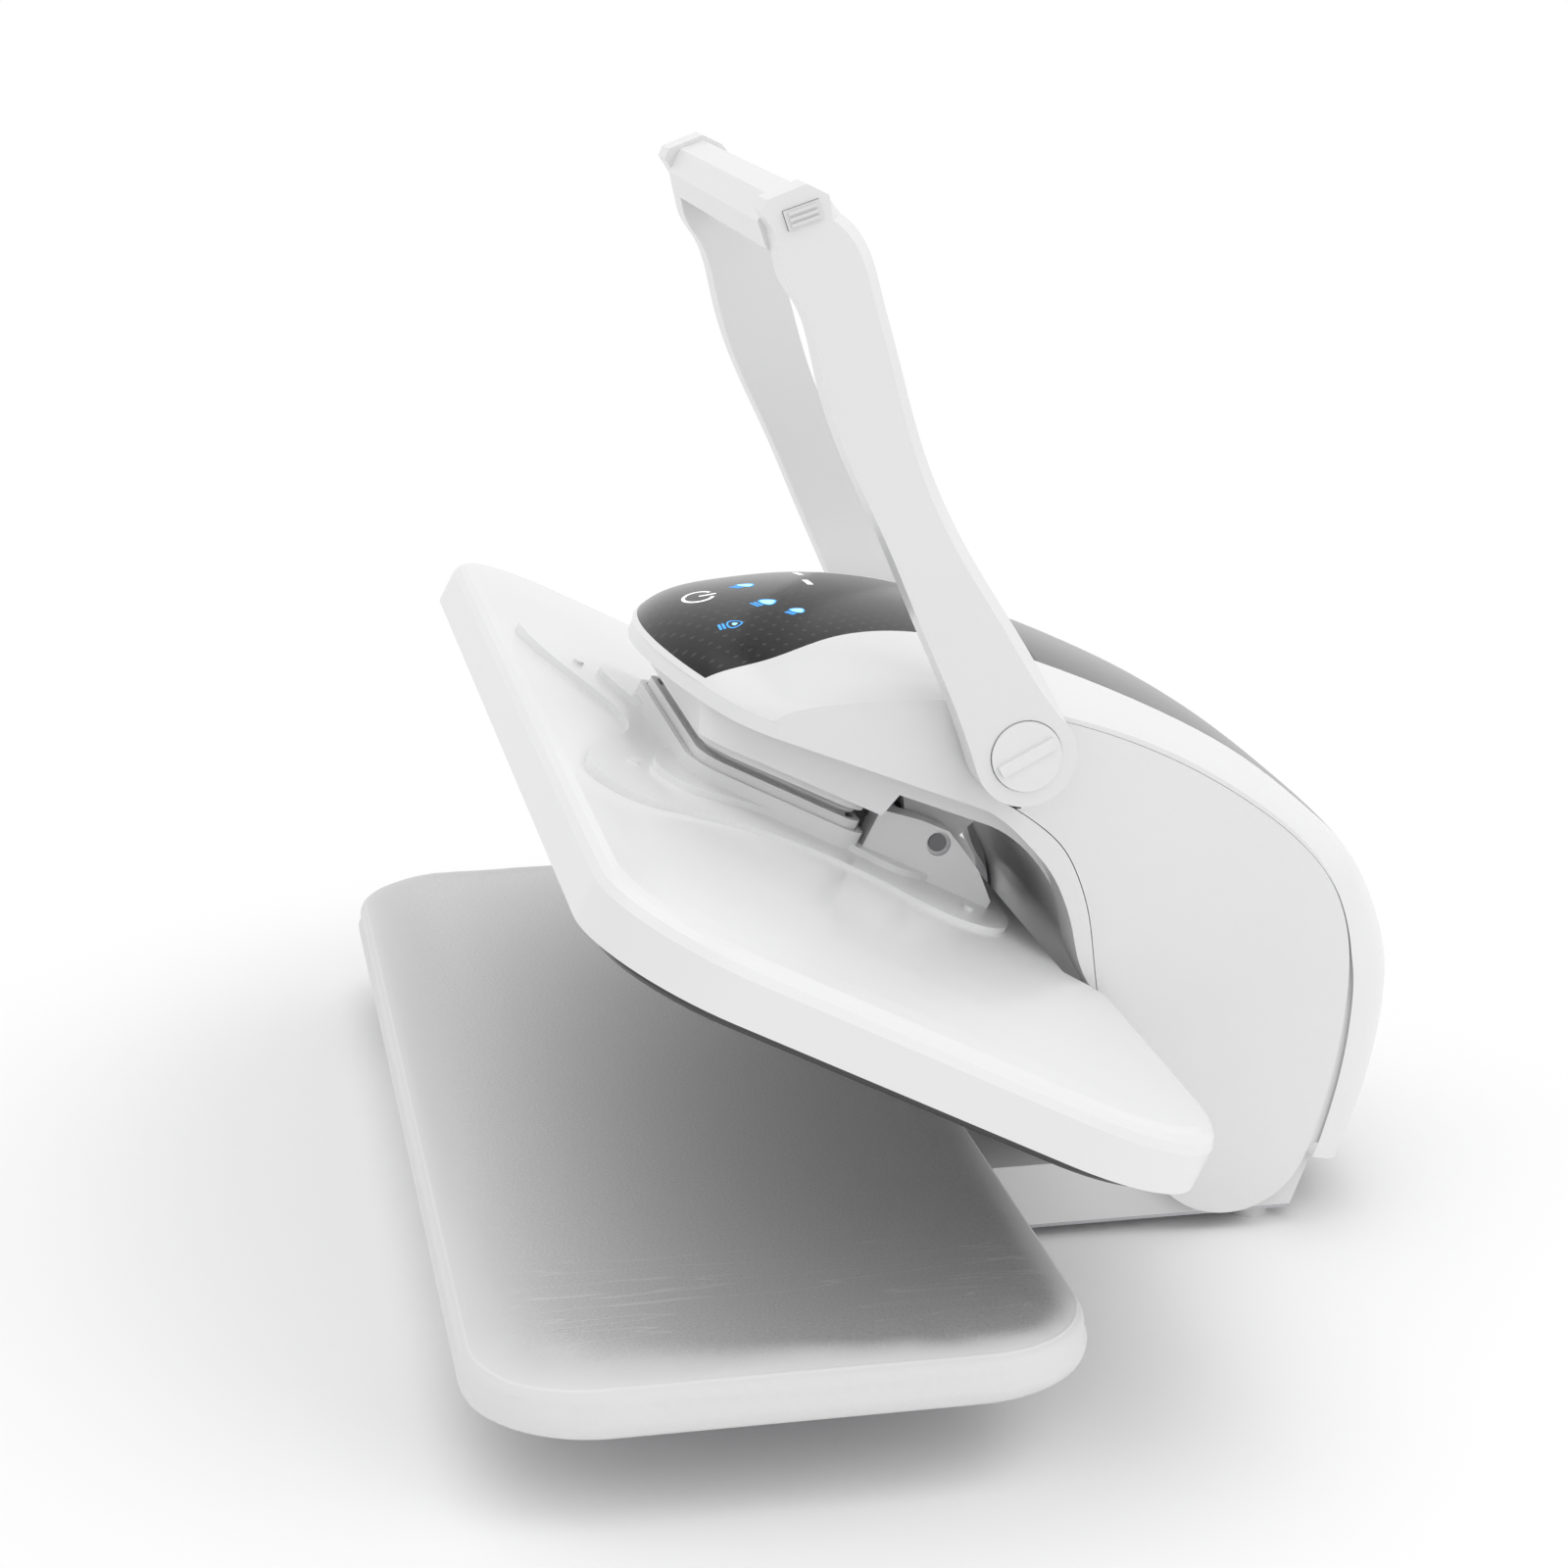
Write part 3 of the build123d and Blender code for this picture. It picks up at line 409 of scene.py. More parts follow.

# %% [markdown]
# ## Cover cloth
#
# The board's cover is white cotton whose top is metallised: a thin silver
# coat that reflects the heat back into the garment. The coat is densest in
# the middle and gives way to white towards the edge of the top, over a wide
# band along the front and a narrow one behind: this white edge is painted
# highlight, widest along the front, which reflects the most light. How far a
# point is inside the board's rounded outline gives that edge. The weave is
# two crossed waves, one for each set of threads, and feeds the bump. Near the
# right end a few long creases run from front to rear: thin ridges of a noise
# that is stretched that way; they are bumped, and their lighter colour is
# painted highlight. A pressed ridge round the shoulder of the rim is bumped
# too, and its pale line is painted highlight.

# %% Metallised cloth
BOARD_HALF = (0.324, 0.122)
BOARD_MIDDLE_Y = -0.10435
BOARD_CORNER = 0.051
BOARD_TOP = 0.060
THREAD = 0.0007
FOLD_INSET = 0.0042
FOLD_HALF = 0.0009
CREASE_RISE = (0.19, 0.25)
CREASE_FALL = (0.285, 0.300)
SILVER_METAL = 0.56

cloth = Finish("metallised cloth", (0.5, 0.5, 0.5), 0.5, Sheen_Weight=0.15)
across, along, height = cloth.axes(cloth.place())
reach_x = (across.size() - (BOARD_HALF[0] - BOARD_CORNER)).larger(0.0)
reach_y = ((along - BOARD_MIDDLE_Y).size() - (BOARD_HALF[1] - BOARD_CORNER)).larger(0.0)
inside = BOARD_CORNER - (reach_x * reach_x + reach_y * reach_y).math("SQRT")
cloudy = cloth.noise(0.035, 3.0)
# The silver coat gives way to white near the edge: painted highlight, on a band widened along the front.
rearward = (along - BOARD_MIDDLE_Y).between(-0.150, 0.050)
highlight_band_width = 0.013 + (1.0 - rearward) * 0.035
bare_edge_highlight = ((inside + (cloudy - 0.5) * 0.010 - 0.005) / highlight_band_width).between(0.0, 1.0)
# A pressed ridge round the rim's shoulder: it feeds the bump, and it also lightens the white as painted
# highlight.
fold_ridge_and_highlight = 1.0 - (inside - FOLD_INSET).size().between(0.0, FOLD_HALF)
lit_top = height.between(BOARD_TOP - 0.007, BOARD_TOP - 0.002)
silver_share = bare_edge_highlight * lit_top
warp = across.wave(THREAD)
weft = along.wave(THREAD)
weave = (warp * weft) * 0.5 + 0.5
creased = cloth.noise(0.010, 2.0, cloth.place(turn=(0.0, 0.0, 0.08), scale=(1.0, 0.07, 1.0)))
ridge = 1.0 - (creased - 0.5).size().between(0.0, 0.016)
crease_and_highlight = ridge * across.between(*CREASE_RISE) * (1.0 - across.between(*CREASE_FALL)) * silver_share
grain = cloth.noise(0.0012, 2.0)
silver = cloth.mix(grain, (0.56, 0.56, 0.565), (0.84, 0.84, 0.845))
# Creases are lightened towards pale grey: painted highlight on their ridges, besides their bump.
silver = cloth.mix(crease_and_highlight * 0.6, silver, (0.90, 0.90, 0.90))
# The white cotton is lightened along the pressed ridge: painted highlight.
white = cloth.mix(fold_ridge_and_highlight, (0.75, 0.75, 0.75), (0.81, 0.81, 0.81))
cloth.set("Base Color", cloth.mix(silver_share, white, silver))
cloth.set("Metallic", silver_share * SILVER_METAL)
cloth.set("Roughness", 0.66 - silver_share * (0.22 - cloudy * 0.05))
cloth.bump(weave + cloudy * 1.5 + crease_and_highlight * 2.0 + fold_ridge_and_highlight * 3.0, 0.00006)

felt = plain("pad felt", (0.66, 0.62, 0.52), 0.9, grain=0.003, depth=0.0004, spread=0.12)

# %% [markdown]
# ## Padded board
#
# The pad is a soft slab with a low crown, and the cover is stretched over it
# and tucked under its rim. Both are made of rows of points: each row follows
# the board's rounded outline, drawn in by an inset, at its own height. The
# rows go up the side and then inwards over the top, so the soft edge gets
# many narrow rows and the flat middle gets a few wide ones.

# %% A row of points round the board
LONG_PARTS = 104
SHORT_PARTS = 26
CORNER_PARTS = 14


def board_row(inset, height):
    """Points round the board's outline, drawn in by inset, all at one height."""
    half_x = BOARD_HALF[0] - inset
    half_y = BOARD_HALF[1] - inset
    corner = BOARD_CORNER * half_y / BOARD_HALF[1]
    sides = ((1, 1, LONG_PARTS), (-1, 1, SHORT_PARTS), (-1, -1, LONG_PARTS), (1, -1, SHORT_PARTS))
    row = []
    for turn, (side_x, side_y, parts) in enumerate(sides):
        middle_x = side_x * (half_x - corner)
        middle_y = side_y * (half_y - corner) + BOARD_MIDDLE_Y
        for step in range(CORNER_PARTS + 1):
            angle = math.pi / 2 * (turn + step / CORNER_PARTS)
            x = middle_x + corner * math.cos(angle)
            y = middle_y + corner * math.sin(angle)
            row.append(Vector((x, y, height)))
        run = 2 * ((half_x, half_y)[turn % 2] - corner)
        heading = math.pi / 2 * (turn + 2)
        way = Vector((math.cos(heading), math.sin(heading), 0.0)) * (run / parts)
        start = row[-1]
        row.extend(start + way * step for step in range(1, parts))
    return row


def join_rings(mesh, rings):
    """Quads between each closed ring of points and the next one."""
    for lower, upper in zip(rings, rings[1:]):
        for index in range(len(lower)):
            after = (index + 1) % len(lower)
            mesh.faces.new((lower[index], lower[after], upper[after], upper[index]))


def slab_from_rows(name, rows, cap_first, cap_last):
    """A mesh through the rows, with its first and last row filled where asked."""
    mesh = bmesh.new()
    grid = [[mesh.verts.new(point) for point in row] for row in rows]
    join_rings(mesh, grid)
    caps = []
    if cap_first:
        caps.append(mesh.faces.new(tuple(reversed(grid[0]))))
    if cap_last:
        caps.append(mesh.faces.new(tuple(grid[-1])))
    bmesh.ops.triangulate(mesh, faces=caps)
    return finished(name, mesh)


def finished(name, mesh, smooth=True):
    """Turns a bmesh into an object in the scene, its faces pointing outwards."""
    bmesh.ops.remove_doubles(mesh, verts=mesh.verts, dist=1e-6)
    bmesh.ops.recalc_face_normals(mesh, faces=mesh.faces)
    data = bpy.data.meshes.new(name)
    mesh.to_mesh(data)
    mesh.free()
    if smooth:
        data.shade_smooth()
    return in_scene(name, data)


print("points in a row", len(board_row(0.0, 0.0)))

# %% [markdown]
# ## Filling the pad by a short cloth simulation
#
# The blank is a little lower than the real pad. Cloth with inside pressure
# and no gravity swells it, while its underside is held by the metal plate.
# How far a point may move is capped, so the top stays nearly flat, with a
# rounder edge than a plain offset would give.

# %% Pad
CLOTH_THICKNESS = 0.0010
PAD_GAP = 0.0012
PAD_UNDER = 0.042
PAD_SWELL = 0.0012
PAD_SHOULDER = 0.0570
CROWN_RISE = 0.0006
CROWN_REACH = 0.06

pad_side = [(0.0, PAD_UNDER), (0.0, 0.0455), (0.0, 0.0490), (0.0003, 0.0512), (0.0011, 0.0531),
            (0.0024, 0.0545), (0.0042, 0.0556), (0.0066, 0.0564), (0.0098, PAD_SHOULDER)]
top_insets = [0.014, 0.019, 0.025, 0.032, 0.040, 0.050, 0.061, 0.073, 0.085, 0.097, 0.108, 0.1165]


def crown(inset):
    """Height of the pad's top before it swells, at one inset from its rim."""
    share = min(inset / CROWN_REACH, 1.0)
    return PAD_SHOULDER + CROWN_RISE * (1 - (1 - share) ** 2)


pad_rows = [board_row(PAD_GAP + inset, height) for inset, height in pad_side]
pad_rows += [board_row(PAD_GAP + inset, crown(inset)) for inset in top_insets]
pad = slab_from_rows("pad", pad_rows, True, True)


def swell(piece, held_below, cap, pressure=4.0, frames=16):
    """Inflates a closed piece as cloth and moves its points, no further than cap."""
    held = piece.vertex_groups.new(name="held")
    held.add([point.index for point in piece.data.vertices if point.co.z < held_below], 1.0, "REPLACE")
    inflation = piece.modifiers.new("swell", "CLOTH")
    inflation.settings.quality = 4
    inflation.settings.mass = 0.3
    inflation.settings.vertex_group_mass = "held"
    inflation.settings.use_pressure = True
    inflation.settings.uniform_pressure_force = pressure
    inflation.settings.effector_weights.gravity = 0.0
    inflation.collision_settings.use_collision = False
    inflation.collision_settings.use_self_collision = False
    inflation.point_cache.frame_start = 1
    inflation.point_cache.frame_end = frames
    scene = bpy.context.scene
    for frame_number in range(1, frames + 1):
        scene.frame_set(frame_number)
    graph = bpy.context.evaluated_depsgraph_get()
    swollen = bpy.data.meshes.new_from_object(piece.evaluated_get(graph))
    furthest = 0.0
    for point, moved in zip(piece.data.vertices, swollen.vertices):
        shift = moved.co - point.co
        if shift.length > cap:
            shift = shift * (cap / shift.length)
        furthest = max(furthest, shift.length)
        point.co = point.co + shift
    piece.modifiers.remove(inflation)
    piece.vertex_groups.remove(held)
    bpy.data.meshes.remove(swollen)
    scene.frame_set(1)
    print(piece.name, "swelled by", round(furthest * 1000, 2), "mm")


swell(pad, PAD_UNDER + 0.001, PAD_SWELL)
pad.data.materials.append(felt.material)
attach(pad, "base")
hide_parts("board_pad")

# %% [markdown]
# ## Cover, stretched over the pad
#
# The cover takes its top and side from the pad's own points, moved out by
# the gap between them, so the two can't cross. Below the pad it goes down
# round the plate and 22 mm in under the rim. At the four corners the spare
# cloth of the hem is gathered: a wave along the row, strongest in the middle
# of a corner. Solidify gives the cloth its thickness.

# %% Cover
HEM_DEPTH = 0.022
GATHER = 0.0007
GATHER_ROWS = 6
GATHER_STEP = 2.1
HEM_HEIGHT = 0.0352

hem_side = [(HEM_DEPTH, HEM_HEIGHT), (0.019, HEM_HEIGHT), (0.015, HEM_HEIGHT), (0.011, HEM_HEIGHT),
            (0.0075, HEM_HEIGHT), (0.0045, 0.0353), (0.0026, 0.0359), (0.0014, 0.0370), (0.0006, 0.0386),
            (0.0001, 0.0408), (0.0, 0.0430)]


def corner_share(index):
    """1 in the middle of a corner of the row, 0 along its straight sides."""
    place = index
    for parts in (LONG_PARTS, SHORT_PARTS, LONG_PARTS, SHORT_PARTS):
        if place <= CORNER_PARTS:
            return math.sin(math.pi * place / CORNER_PARTS)
        place -= CORNER_PARTS + parts
    return 0.0


cover_rows = []
for number, (inset, height) in enumerate(hem_side):
    row = board_row(inset, height)
    strength = GATHER * max(0.0, 1 - number / GATHER_ROWS)
    for index, point in enumerate(row):
        point.z -= strength * corner_share(index) * (0.5 + 0.5 * math.sin(index * GATHER_STEP))
    cover_rows.append(row)

row_length = len(pad_rows[0])
top_points = [point.co for point in pad.data.vertices]
normals = [point.normal for point in pad.data.vertices]
for number in range(1, len(pad_rows)):
    places = range(number * row_length, (number + 1) * row_length)
    cover_rows.append([top_points[place] + normals[place] * PAD_GAP for place in places])
cover = slab_from_rows("cover", cover_rows, False, True)

wall = cover.modifiers.new("thickness", "SOLIDIFY")
wall.thickness = CLOTH_THICKNESS
wall.offset = -1.0
wall.use_even_offset = True


def apply_modifiers(piece):
    """Makes a piece's modifiers part of its mesh."""
    graph = bpy.context.evaluated_depsgraph_get()
    result = bpy.data.meshes.new_from_object(piece.evaluated_get(graph))
    piece.modifiers.clear()
    piece.data = result


apply_modifiers(cover)
cover.data.materials.append(cloth.material)
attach(cover, "base")
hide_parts("board_cover")

# %% [markdown]
# ## Hem stitches and screws, by Geometry Nodes
#
# A running stitch holds the hem's fold under the board, and screws hold the
# metal pan under the base. Both repeat along a path or over points, so one
# small tree makes each: it puts a copy on every point, then turns the copies
# into one real mesh. The sizes are named inputs of the tree.

# %% A helper that builds and applies a tree
class Tree:
    """A Geometry Nodes tree with named inputs."""

    def __init__(self, name, sizes):
        self.tree = bpy.data.node_groups.new(name, "GeometryNodeTree")
        face = self.tree.interface
        face.new_socket("Geometry", in_out="INPUT", socket_type="NodeSocketGeometry")
        face.new_socket("Geometry", in_out="OUTPUT", socket_type="NodeSocketGeometry")
        self.keys = {}
        for label, value in sizes.items():
            kind = "NodeSocketObject" if isinstance(value, bpy.types.Object) else "NodeSocketFloat"
            self.keys[label] = face.new_socket(label, in_out="INPUT", socket_type=kind).identifier
        self.sizes = sizes
        self.start = self.tree.nodes.new("NodeGroupInput")
        self.end = self.tree.nodes.new("NodeGroupOutput")

    def input(self, label):
        return self.start.outputs[label]

    def node(self, kind, settings=None, inputs=None, output=0):
        made = self.tree.nodes.new(kind)
        for key, value in (settings or {}).items():
            setattr(made, key, value)
        for key, value in (inputs or {}).items():
            if isinstance(value, bpy.types.NodeSocket):
                self.tree.links.new(value, made.inputs[key])
            else:
                made.inputs[key].default_value = value
        return made.outputs[output]

    def finish(self, geometry, material):
        """Ends the tree with real geometry in one material."""
        real = self.node("GeometryNodeRealizeInstances", None, {"Geometry": geometry})
        dressed = self.node("GeometryNodeSetMaterial", None, {"Geometry": real, "Material": material})
        self.tree.links.new(dressed, self.end.inputs["Geometry"])

    def apply(self, piece, material):
        """Runs the tree on a piece and keeps the result as its mesh."""
        modifier = piece.modifiers.new("repeat", "NODES")
        modifier.node_group = self.tree
        for label, value in self.sizes.items():
            modifier[self.keys[label]] = value
        apply_modifiers(piece)
        piece.data.materials.clear()
        piece.data.materials.append(material)
        piece.data.shade_smooth()
        print(piece.name, "has", len(piece.data.polygons), "faces")


# %% Stitches under the hem
STITCH_INSET = 0.0185
BASE_GAP = 0.108
STITCH_SAG = 0.0006


def path_piece(name, points):
    """An object whose mesh is only a line through the points."""
    data = bpy.data.meshes.new(name)
    data.from_pydata([tuple(point) for point in points], [(i, i + 1) for i in range(len(points) - 1)], [])
    return in_scene(name, data)


seam = board_row(STITCH_INSET, HEM_HEIGHT - 0.0001)
over_base = [abs(point.x) < BASE_GAP and point.y > BOARD_MIDDLE_Y for point in seam]
last_covered = max(index for index, covered in enumerate(over_base) if covered)
seam = seam[last_covered + 1:] + seam[:last_covered + 1]
seam = [point for point in seam if not (abs(point.x) < BASE_GAP and point.y > BOARD_MIDDLE_Y)]
stitches = path_piece("hem_stitches", seam)

thread = plain("white thread", (0.78, 0.78, 0.78), 0.8, grain=0.0006, depth=0.0001)
stitching = Tree("running stitch", {"Pitch": 0.0052, "Length": 0.0034, "Thread": 0.00028})
curve = stitching.node("GeometryNodeMeshToCurve", None, {"Mesh": stitching.input("Geometry")})
spaced = stitching.node("GeometryNodeResampleCurve", {"mode": "LENGTH"}, {
    "Curve": curve, "Length": stitching.input("Pitch"),
})
half = stitching.node("ShaderNodeMath", {"operation": "MULTIPLY"}, {0: stitching.input("Length"), 1: 0.5})
minus = stitching.node("ShaderNodeMath", {"operation": "MULTIPLY"}, {0: half, 1: -1.0})
stitch_start = stitching.node("ShaderNodeCombineXYZ", None, {"X": minus})
stitch_end = stitching.node("ShaderNodeCombineXYZ", None, {"X": half})
arch = stitching.node("GeometryNodeCurveQuadraticBezier", None, {
    "Resolution": 5, "Start": stitch_start, "Middle": (0.0, 0.0, -STITCH_SAG), "End": stitch_end,
})
section = stitching.node("GeometryNodeCurvePrimitiveCircle", None, {
    "Resolution": 6, "Radius": stitching.input("Thread"),
})
one = stitching.node("GeometryNodeCurveToMesh", None, {"Curve": arch, "Profile Curve": section})
tangent = stitching.node("GeometryNodeInputTangent")
facing = stitching.node("FunctionNodeAlignRotationToVector", {"axis": "X"}, {"Vector": tangent})
placed = stitching.node("GeometryNodeInstanceOnPoints", None, {
    "Points": spaced, "Instance": one, "Rotation": facing,
})
stitching.finish(placed, thread.material)
stitching.apply(stitches, thread.material)
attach(stitches, "base")

# %% Screws under the base
SCREW_HEAD = 0.0036
SCREW_RISE = 0.0018
SCREW_PARTS = 24
SOCKET_HALF = 0.0016
SOCKET_FLOOR = 0.0005
PAN_UNDER = 0.005


def screw_head():
    """A low round head with a six-sided socket, pointing down, its seat at zero."""
    mesh = bmesh.new()
    profile = [(SCREW_HEAD, 0.0), (SCREW_HEAD, 0.0006), (SCREW_HEAD * 0.86, 0.0014),
               (SCREW_HEAD * 0.6, SCREW_RISE)]
    rows = [[(radius, rise)] * SCREW_PARTS for radius, rise in profile]
    flats = [math.cos((index % 4 - 2) * math.radians(15)) for index in range(SCREW_PARTS)]
    for rise in (SCREW_RISE, SOCKET_FLOOR):
        rows.append([(SOCKET_HALF / flat, rise) for flat in flats])
    grid = []
    for row in rows:
        ring = []
        for index, (radius, rise) in enumerate(row):
            angle = 2 * math.pi * index / SCREW_PARTS
            ring.append(mesh.verts.new((radius * math.cos(angle), radius * math.sin(angle), -rise)))
        grid.append(ring)
    join_rings(mesh, grid)
    mesh.faces.new(grid[0])
    mesh.faces.new(grid[-1])
    return finished("screw_pattern", mesh, smooth=False)


pan_places = [(x, y) for x in (-0.150, -0.085, 0.085, 0.150) for y in (-0.190, -0.140)]
pan_places += [(x, y) for x in (-0.088, 0.088) for y in (-0.05, 0.045, 0.115)]
pan_screws = in_scene("pan_screws", bpy.data.meshes.new("pan_screws"))
pan_screws.data.from_pydata([(x, y, PAN_UNDER) for x, y in pan_places], [], [])
pattern = screw_head()
screwing = Tree("screws on points", {"Screw": pattern})
head = screwing.node("GeometryNodeObjectInfo", None, {"Object": screwing.input("Screw")}, output="Geometry")
heads = screwing.node("GeometryNodeInstanceOnPoints", None, {
    "Points": screwing.input("Geometry"), "Instance": head,
})
screwing.finish(heads, turned.material)
screwing.apply(pan_screws, turned.material)
pan_screws.data.shade_flat()
bpy.data.objects.remove(pattern)
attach(pan_screws, "base")

# %% [markdown]
# ## Flange behind the side panels
#
# Each flat side panel stops about 3 mm short of the rear shell. A thin
# flange just inside it closes that seam, so no light falls into the housing.
# Its rear edge stays clear of the shell's inner wall, and its front edge is
# hidden behind the panel.

# %% Seam flanges
FLANGE_OUTER = 0.1046
FLANGE_SHEET = 0.0012
FLANGE_FRONT = 0.006
SEAM = [(0.037, 0.1706, 0.1790), (0.049, 0.1747, 0.1827), (0.061, 0.1781, 0.1859), (0.073, 0.1808, 0.1885),
        (0.085, 0.1830, 0.1904), (0.097, 0.1846, 0.1918), (0.109, 0.1857, 0.1924), (0.121, 0.1859, 0.1918),
        (0.133, 0.1850, 0.1898), (0.145, 0.1825, 0.1867), (0.157, 0.1780, 0.1820), (0.169, 0.1707, 0.1739)]

flange_mesh = bmesh.new()
for side in (-1, 1):
    sections = []
    for height, panel_edge, shell_edge in SEAM:
        corners = ((FLANGE_OUTER, panel_edge - FLANGE_FRONT), (FLANGE_OUTER, shell_edge),
                   (FLANGE_OUTER - FLANGE_SHEET, shell_edge),
                   (FLANGE_OUTER - FLANGE_SHEET, panel_edge - FLANGE_FRONT))
        sections.append([flange_mesh.verts.new((side * x, y, height)) for x, y in corners])
    join_rings(flange_mesh, sections)
    flange_mesh.faces.new(sections[0])
    flange_mesh.faces.new(sections[-1])
seam_flanges = finished("seam_flanges", flange_mesh, smooth=False)
seam_flanges.data.materials.append(white_plastic.material)
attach(seam_flanges, "arm")

# %% [markdown]
# ## Gaiter between the arm and the platen
#
# The platen swings a few degrees on its pin, so the gap above its island
# opens and closes. A pleated silicone gaiter stands inside the two skirts and
# keeps steam out of the arm. Its rows are rounded rectangles whose size goes
# in and out with each pleat. All the rows are placed in the platen's frame,
# from its foot up to its top.

# %% Gaiter
GAITER_HALF = (69.6, 35.6)
GAITER_CORNER = 11.0
GAITER_MIDDLE = -77.0
GAITER_FOOT = -14.0
GAITER_TOP = 3.2
PLEATS = 3
PLEAT_DEPTH = 1.1
GAITER_ROWS = 36
GAITER_CORNER_PARTS = 10
GAITER_SHEET = 0.0008


def gaiter_row(share):
    """Points round the gaiter at one share of its height."""
    swell_out = PLEAT_DEPTH * math.cos(2 * math.pi * PLEATS * share)
    height = GAITER_FOOT + (GAITER_TOP - GAITER_FOOT) * share
    half_x = GAITER_HALF[0] + swell_out - GAITER_CORNER
    half_y = GAITER_HALF[1] + swell_out - GAITER_CORNER
    row = []
    for turn, (side_x, side_y) in enumerate(((1, 1), (-1, 1), (-1, -1), (1, -1))):
        for step in range(GAITER_CORNER_PARTS + 1):
            angle = math.pi / 2 * (turn + step / GAITER_CORNER_PARTS)
            x = side_x * half_x + GAITER_CORNER * math.cos(angle)
            along = GAITER_MIDDLE + side_y * half_y + GAITER_CORNER * math.sin(angle)
            row.append(on_platen(x, along, height))
    return row


gaiter_rows = [gaiter_row(number / GAITER_ROWS) for number in range(GAITER_ROWS + 1)]
gaiter = slab_from_rows("platen_gaiter", gaiter_rows, False, False)
gaiter_wall = gaiter.modifiers.new("thickness", "SOLIDIFY")
gaiter_wall.thickness = GAITER_SHEET
gaiter_wall.offset = -1.0
apply_modifiers(gaiter)
gaiter_silicone = plain("gaiter silicone", (0.74, 0.74, 0.74), 0.5, grain=0.001, depth=0.00001, spread=0.02)
gaiter.data.materials.append(gaiter_silicone.material)
on_platen(0, GAITER_MIDDLE, GAITER_FOOT + 1)
on_platen(0, GAITER_MIDDLE, GAITER_TOP)
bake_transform(gaiter)

# %% [markdown]
# ## Lit signs under the lens
#
# The signs show through the smoked lens: a white power ring, white dashes
# and blue leaves with two short bars. Each is a thin layer that follows the
# lens. Its points are worked out flat, in millimetres, and then dropped onto
# the lens along the arm's upward direction, by a ray from well above it.

# %% Drop flat shapes onto the lens
lens_points = [point.co.copy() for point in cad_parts["control_panel"].data.vertices]
lens_faces = [tuple(face.vertices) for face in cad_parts["control_panel"].data.polygons]
lens_tree = BVHTree.FromPolygons(lens_points, lens_faces)
SIGN_LIFT = 0.00008
RAY_HEIGHT = 260.0
LEAF_PARTS = 32
LEAF_HALF = 4.3
LEAF_REACH = 3.6
LEAF_AHEAD = 1.6
LEAF_POINT = 0.45
ARC_PARTS = 40


def on_lens(x, along):
    """The point of the lens above a place in the arm's plan, lifted a little."""
    place, normal, _, _ = lens_tree.ray_cast(on_arm(x, along, RAY_HEIGHT), -ARM_UP)
    return place + normal * SIGN_LIFT


def band(mesh, outer, inner, closed=True, material=0):
    """A strip of quads between two rows of flat points."""
    rows = [[mesh.verts.new(on_lens(*point)) for point in row] for row in (outer, inner)]
    count = len(outer)
    for index in range(count if closed else count - 1):
        after = (index + 1) % count
        quad = mesh.faces.new((rows[0][index], rows[0][after], rows[1][after], rows[1][index]))
        quad.material_index = material


class Sign:
    """A place, turn and size on the lens; shapes are drawn about its own zero."""

    def __init__(self, x, along, turn=0.0, size=1.0):
        self.x = x
        self.along = along
        self.turn = math.radians(turn)
        self.size = size

    def at(self, side, ahead):
        """The point that far to the side of the sign's middle and ahead of it."""
        x = side * math.cos(self.turn) - ahead * math.sin(self.turn)
        along = side * math.sin(self.turn) + ahead * math.cos(self.turn)
        return (self.x + x * self.size, self.along + along * self.size)

    def leaf(self, scale):
        """A leaf with a round tail and a pointed tip."""
        points = []
        for step in range(LEAF_PARTS):
            angle = 2 * math.pi * step / LEAF_PARTS
            side = LEAF_HALF * math.sin(angle) * (1 - LEAF_POINT * math.cos(angle))
            points.append(self.at(scale * side, LEAF_AHEAD + scale * LEAF_REACH * math.cos(angle)))
        return points

    def arc(self, radius, stretch, start, end):
        """Points of an arc, its angles measured from straight ahead."""
        turns = [math.radians(start + (end - start) * step / ARC_PARTS) for step in range(ARC_PARTS + 1)]
        return [self.at(stretch * radius * math.sin(turn), radius * math.cos(turn)) for turn in turns]

    def bar(self, mesh, side, ahead, half_side, half_ahead):
        """A small bar of three quads a side."""
        steps = [-1.0, -0.33, 0.33, 1.0]
        rear = [self.at(side + half_side * step, ahead + half_ahead) for step in steps]
        front = [self.at(side + half_side * step, ahead - half_ahead) for step in steps]
        band(mesh, rear, front, closed=False)


# %% Signs
POWER = Sign(-3.0, -288.6)
LEAVES = (
    (Sign(-13.0, -268.8, turn=32.0), True),
    (Sign(21.0, -265.4, turn=24.0), True),
    (Sign(35.5, -254.8, turn=40.0, size=0.80), True),
    (Sign(43.0, -281.5, turn=6.0, size=0.90), False),
)
DASHES = (Sign(-15.0, -241.0), Sign(-47.0, -238.0))
RING_OUTER = 6.4
RING_INNER = 5.1
RING = {"stretch": 1.6, "start": 28, "end": 332}



def glowing_finish(name, colour, light, strength):
    return Finish(name, colour, 0.4, Emission_Color=(*light, 1.0), Emission_Strength=strength)


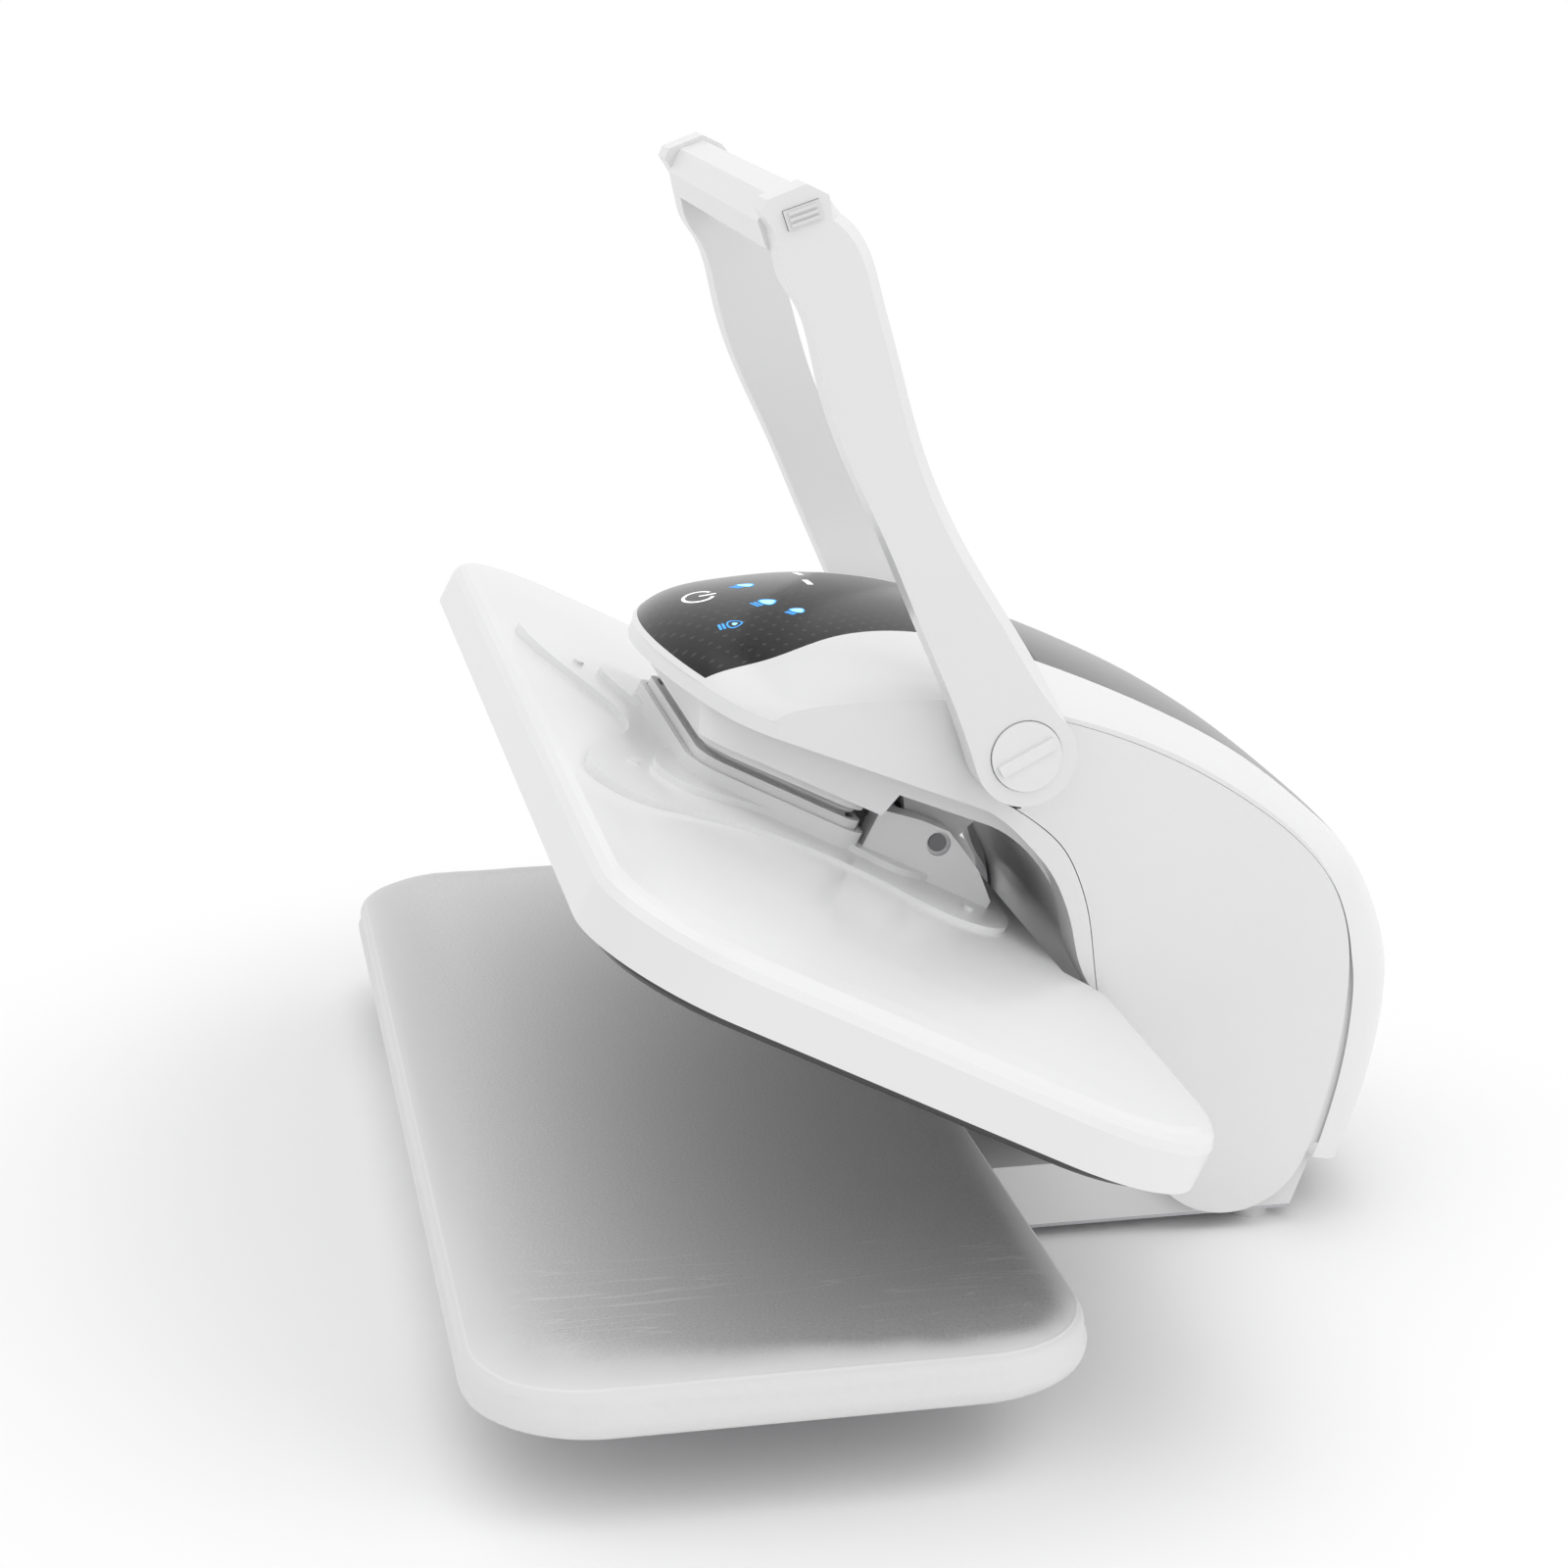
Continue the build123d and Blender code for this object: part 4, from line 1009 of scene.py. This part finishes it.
white_glow = glowing_finish("white sign", (0.85, 0.85, 0.86), (1.0, 1.0, 1.0), 0.5)
blue_glow = glowing_finish("blue sign", (0.03, 0.30, 0.75), (0.03, 0.34, 1.0), 0.7)
core_glow = glowing_finish("blue sign core", (0.3, 0.7, 0.9), (0.32, 0.80, 1.0), 0.8)
for glowing, deep, pale in (
    (blue_glow, (0.02, 0.26, 0.70), (0.05, 0.36, 0.80)),
    (core_glow, (0.25, 0.65, 0.85), (0.40, 0.80, 0.95)),
):
    glowing.set("Base Color", glowing.mix(glowing.noise(0.004), deep, pale))
flare = white_glow.noise(0.004)
white_glow.set("Base Color", white_glow.mix(flare, (0.80, 0.80, 0.82), (0.90, 0.90, 0.92)))

white_mesh = bmesh.new()
band(white_mesh, POWER.arc(RING_OUTER, **RING), POWER.arc(RING_INNER, **RING), closed=False)
POWER.bar(white_mesh, 0.0, 3.6, 1.0, 3.4)
for dash in DASHES:
    dash.bar(white_mesh, 0.0, 0.0, 6.5, 1.3)
white_signs = finished("white_signs", white_mesh)

blue_mesh = bmesh.new()
for leaf, filled in LEAVES:
    band(blue_mesh, leaf.leaf(1.0), leaf.leaf(0.78))
    if filled:
        for outer_scale, inner_scale in ((0.78, 0.50), (0.50, 0.25), (0.25, 0.02)):
            band(blue_mesh, leaf.leaf(outer_scale), leaf.leaf(inner_scale), material=1)
    else:
        band(blue_mesh, leaf.leaf(0.34), leaf.leaf(0.02), material=1)
    for ahead in (-4.9, -3.2):
        leaf.bar(blue_mesh, 0.0, ahead, 3.2, 0.55)
blue_signs = finished("blue_signs", blue_mesh)

for piece, finishes in ((white_signs, [white_glow]), (blue_signs, [blue_glow, core_glow])):
    for finish in finishes:
        piece.data.materials.append(finish.material)
    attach(piece, "arm")

# %% [markdown]
# ## Floor, world and lamps
#
# A plain pale floor takes the shadow. Further out it turns into an even
# white, so the picture's background is clean: a Mix Shader changes from the
# lit floor to a white glow, only for rays that come from the camera, from a
# reflection or through something clear. The lamps are large and soft.

# %% Floor
FLOOR_HALF = 12.0
SHADOW_REACH = 0.32
WHITE_FROM = 0.58

floor_mesh = bmesh.new()
bmesh.ops.create_grid(floor_mesh, x_segments=8, y_segments=8, size=FLOOR_HALF)
floor = finished("floor", floor_mesh, smooth=False)


def seen_ray(owner):
    """1 for camera, glossy and transmission rays."""
    rays = owner.node("ShaderNodeLightPath").socket.node.outputs
    seen = Signal(owner, rays["Is Camera Ray"])
    for label in ("Is Glossy Ray", "Is Transmission Ray"):
        seen = seen.larger(Signal(owner, rays[label]))
    return seen


paper = Finish("pale floor", (0.94, 0.94, 0.94), 0.9, Specular_IOR_Level=0.0)
spot_x, spot_y, _ = paper.axes(paper.place())
distance = (spot_x * spot_x + spot_y * spot_y).math("SQRT")
away = distance.between(SHADOW_REACH, WHITE_FROM)
glow = paper.node("ShaderNodeEmission", None, {"Color": (1.0, 1.0, 1.0, 1.0), "Strength": 1.0})
lit = Signal(paper, paper.shader.outputs[0])
mixed = paper.node("ShaderNodeMixShader", None, {0: away * seen_ray(paper), 1: lit, 2: glow})
paper.tree.links.new(mixed.socket, paper.tree.nodes["Material Output"].inputs["Surface"])
floor.data.materials.append(paper.material)

# %% World
world = bpy.data.worlds.new("studio")
world.use_nodes = True
bpy.context.scene.world = world


class Sky(Finish):
    """The world's shader, built with the same helpers as a finish."""

    def __init__(self, tree):
        self.tree = tree


sky = Sky(world.node_tree)
AMBIENT = 0.85
background = world.node_tree.nodes["Background"]
background.inputs["Color"].default_value = (1.0, 1.0, 1.0, 1.0)
strength = seen_ray(sky) * (1.0 - AMBIENT) + AMBIENT
world.node_tree.links.new(strength.socket, background.inputs["Strength"])


# %% Lamps
def lamp(name, place, aim, size, power):
    """A large square lamp that looks at a point."""
    data = bpy.data.lights.new(name, "AREA")
    data.shape = "SQUARE"
    data.size = size
    data.energy = power
    light = in_scene(name, data)
    light.location = place
    light.rotation_euler = (Vector(aim) - Vector(place)).to_track_quat("-Z", "Y").to_euler()


lamp("top softbox", (-0.3, -0.4, 2.4), (0.0, 0.0, 0.1), 2.2, 10.0)
lamp("side softbox", (2.2, 0.9, 1.3), (0.0, 0.0, 0.15), 1.6, 5.0)
lamp("rear softbox", (0.9, 1.4, 2.2), (0.0, 0.0, 0.15), 1.4, 8.0)
bpy.context.scene.view_settings.view_transform = "Standard"
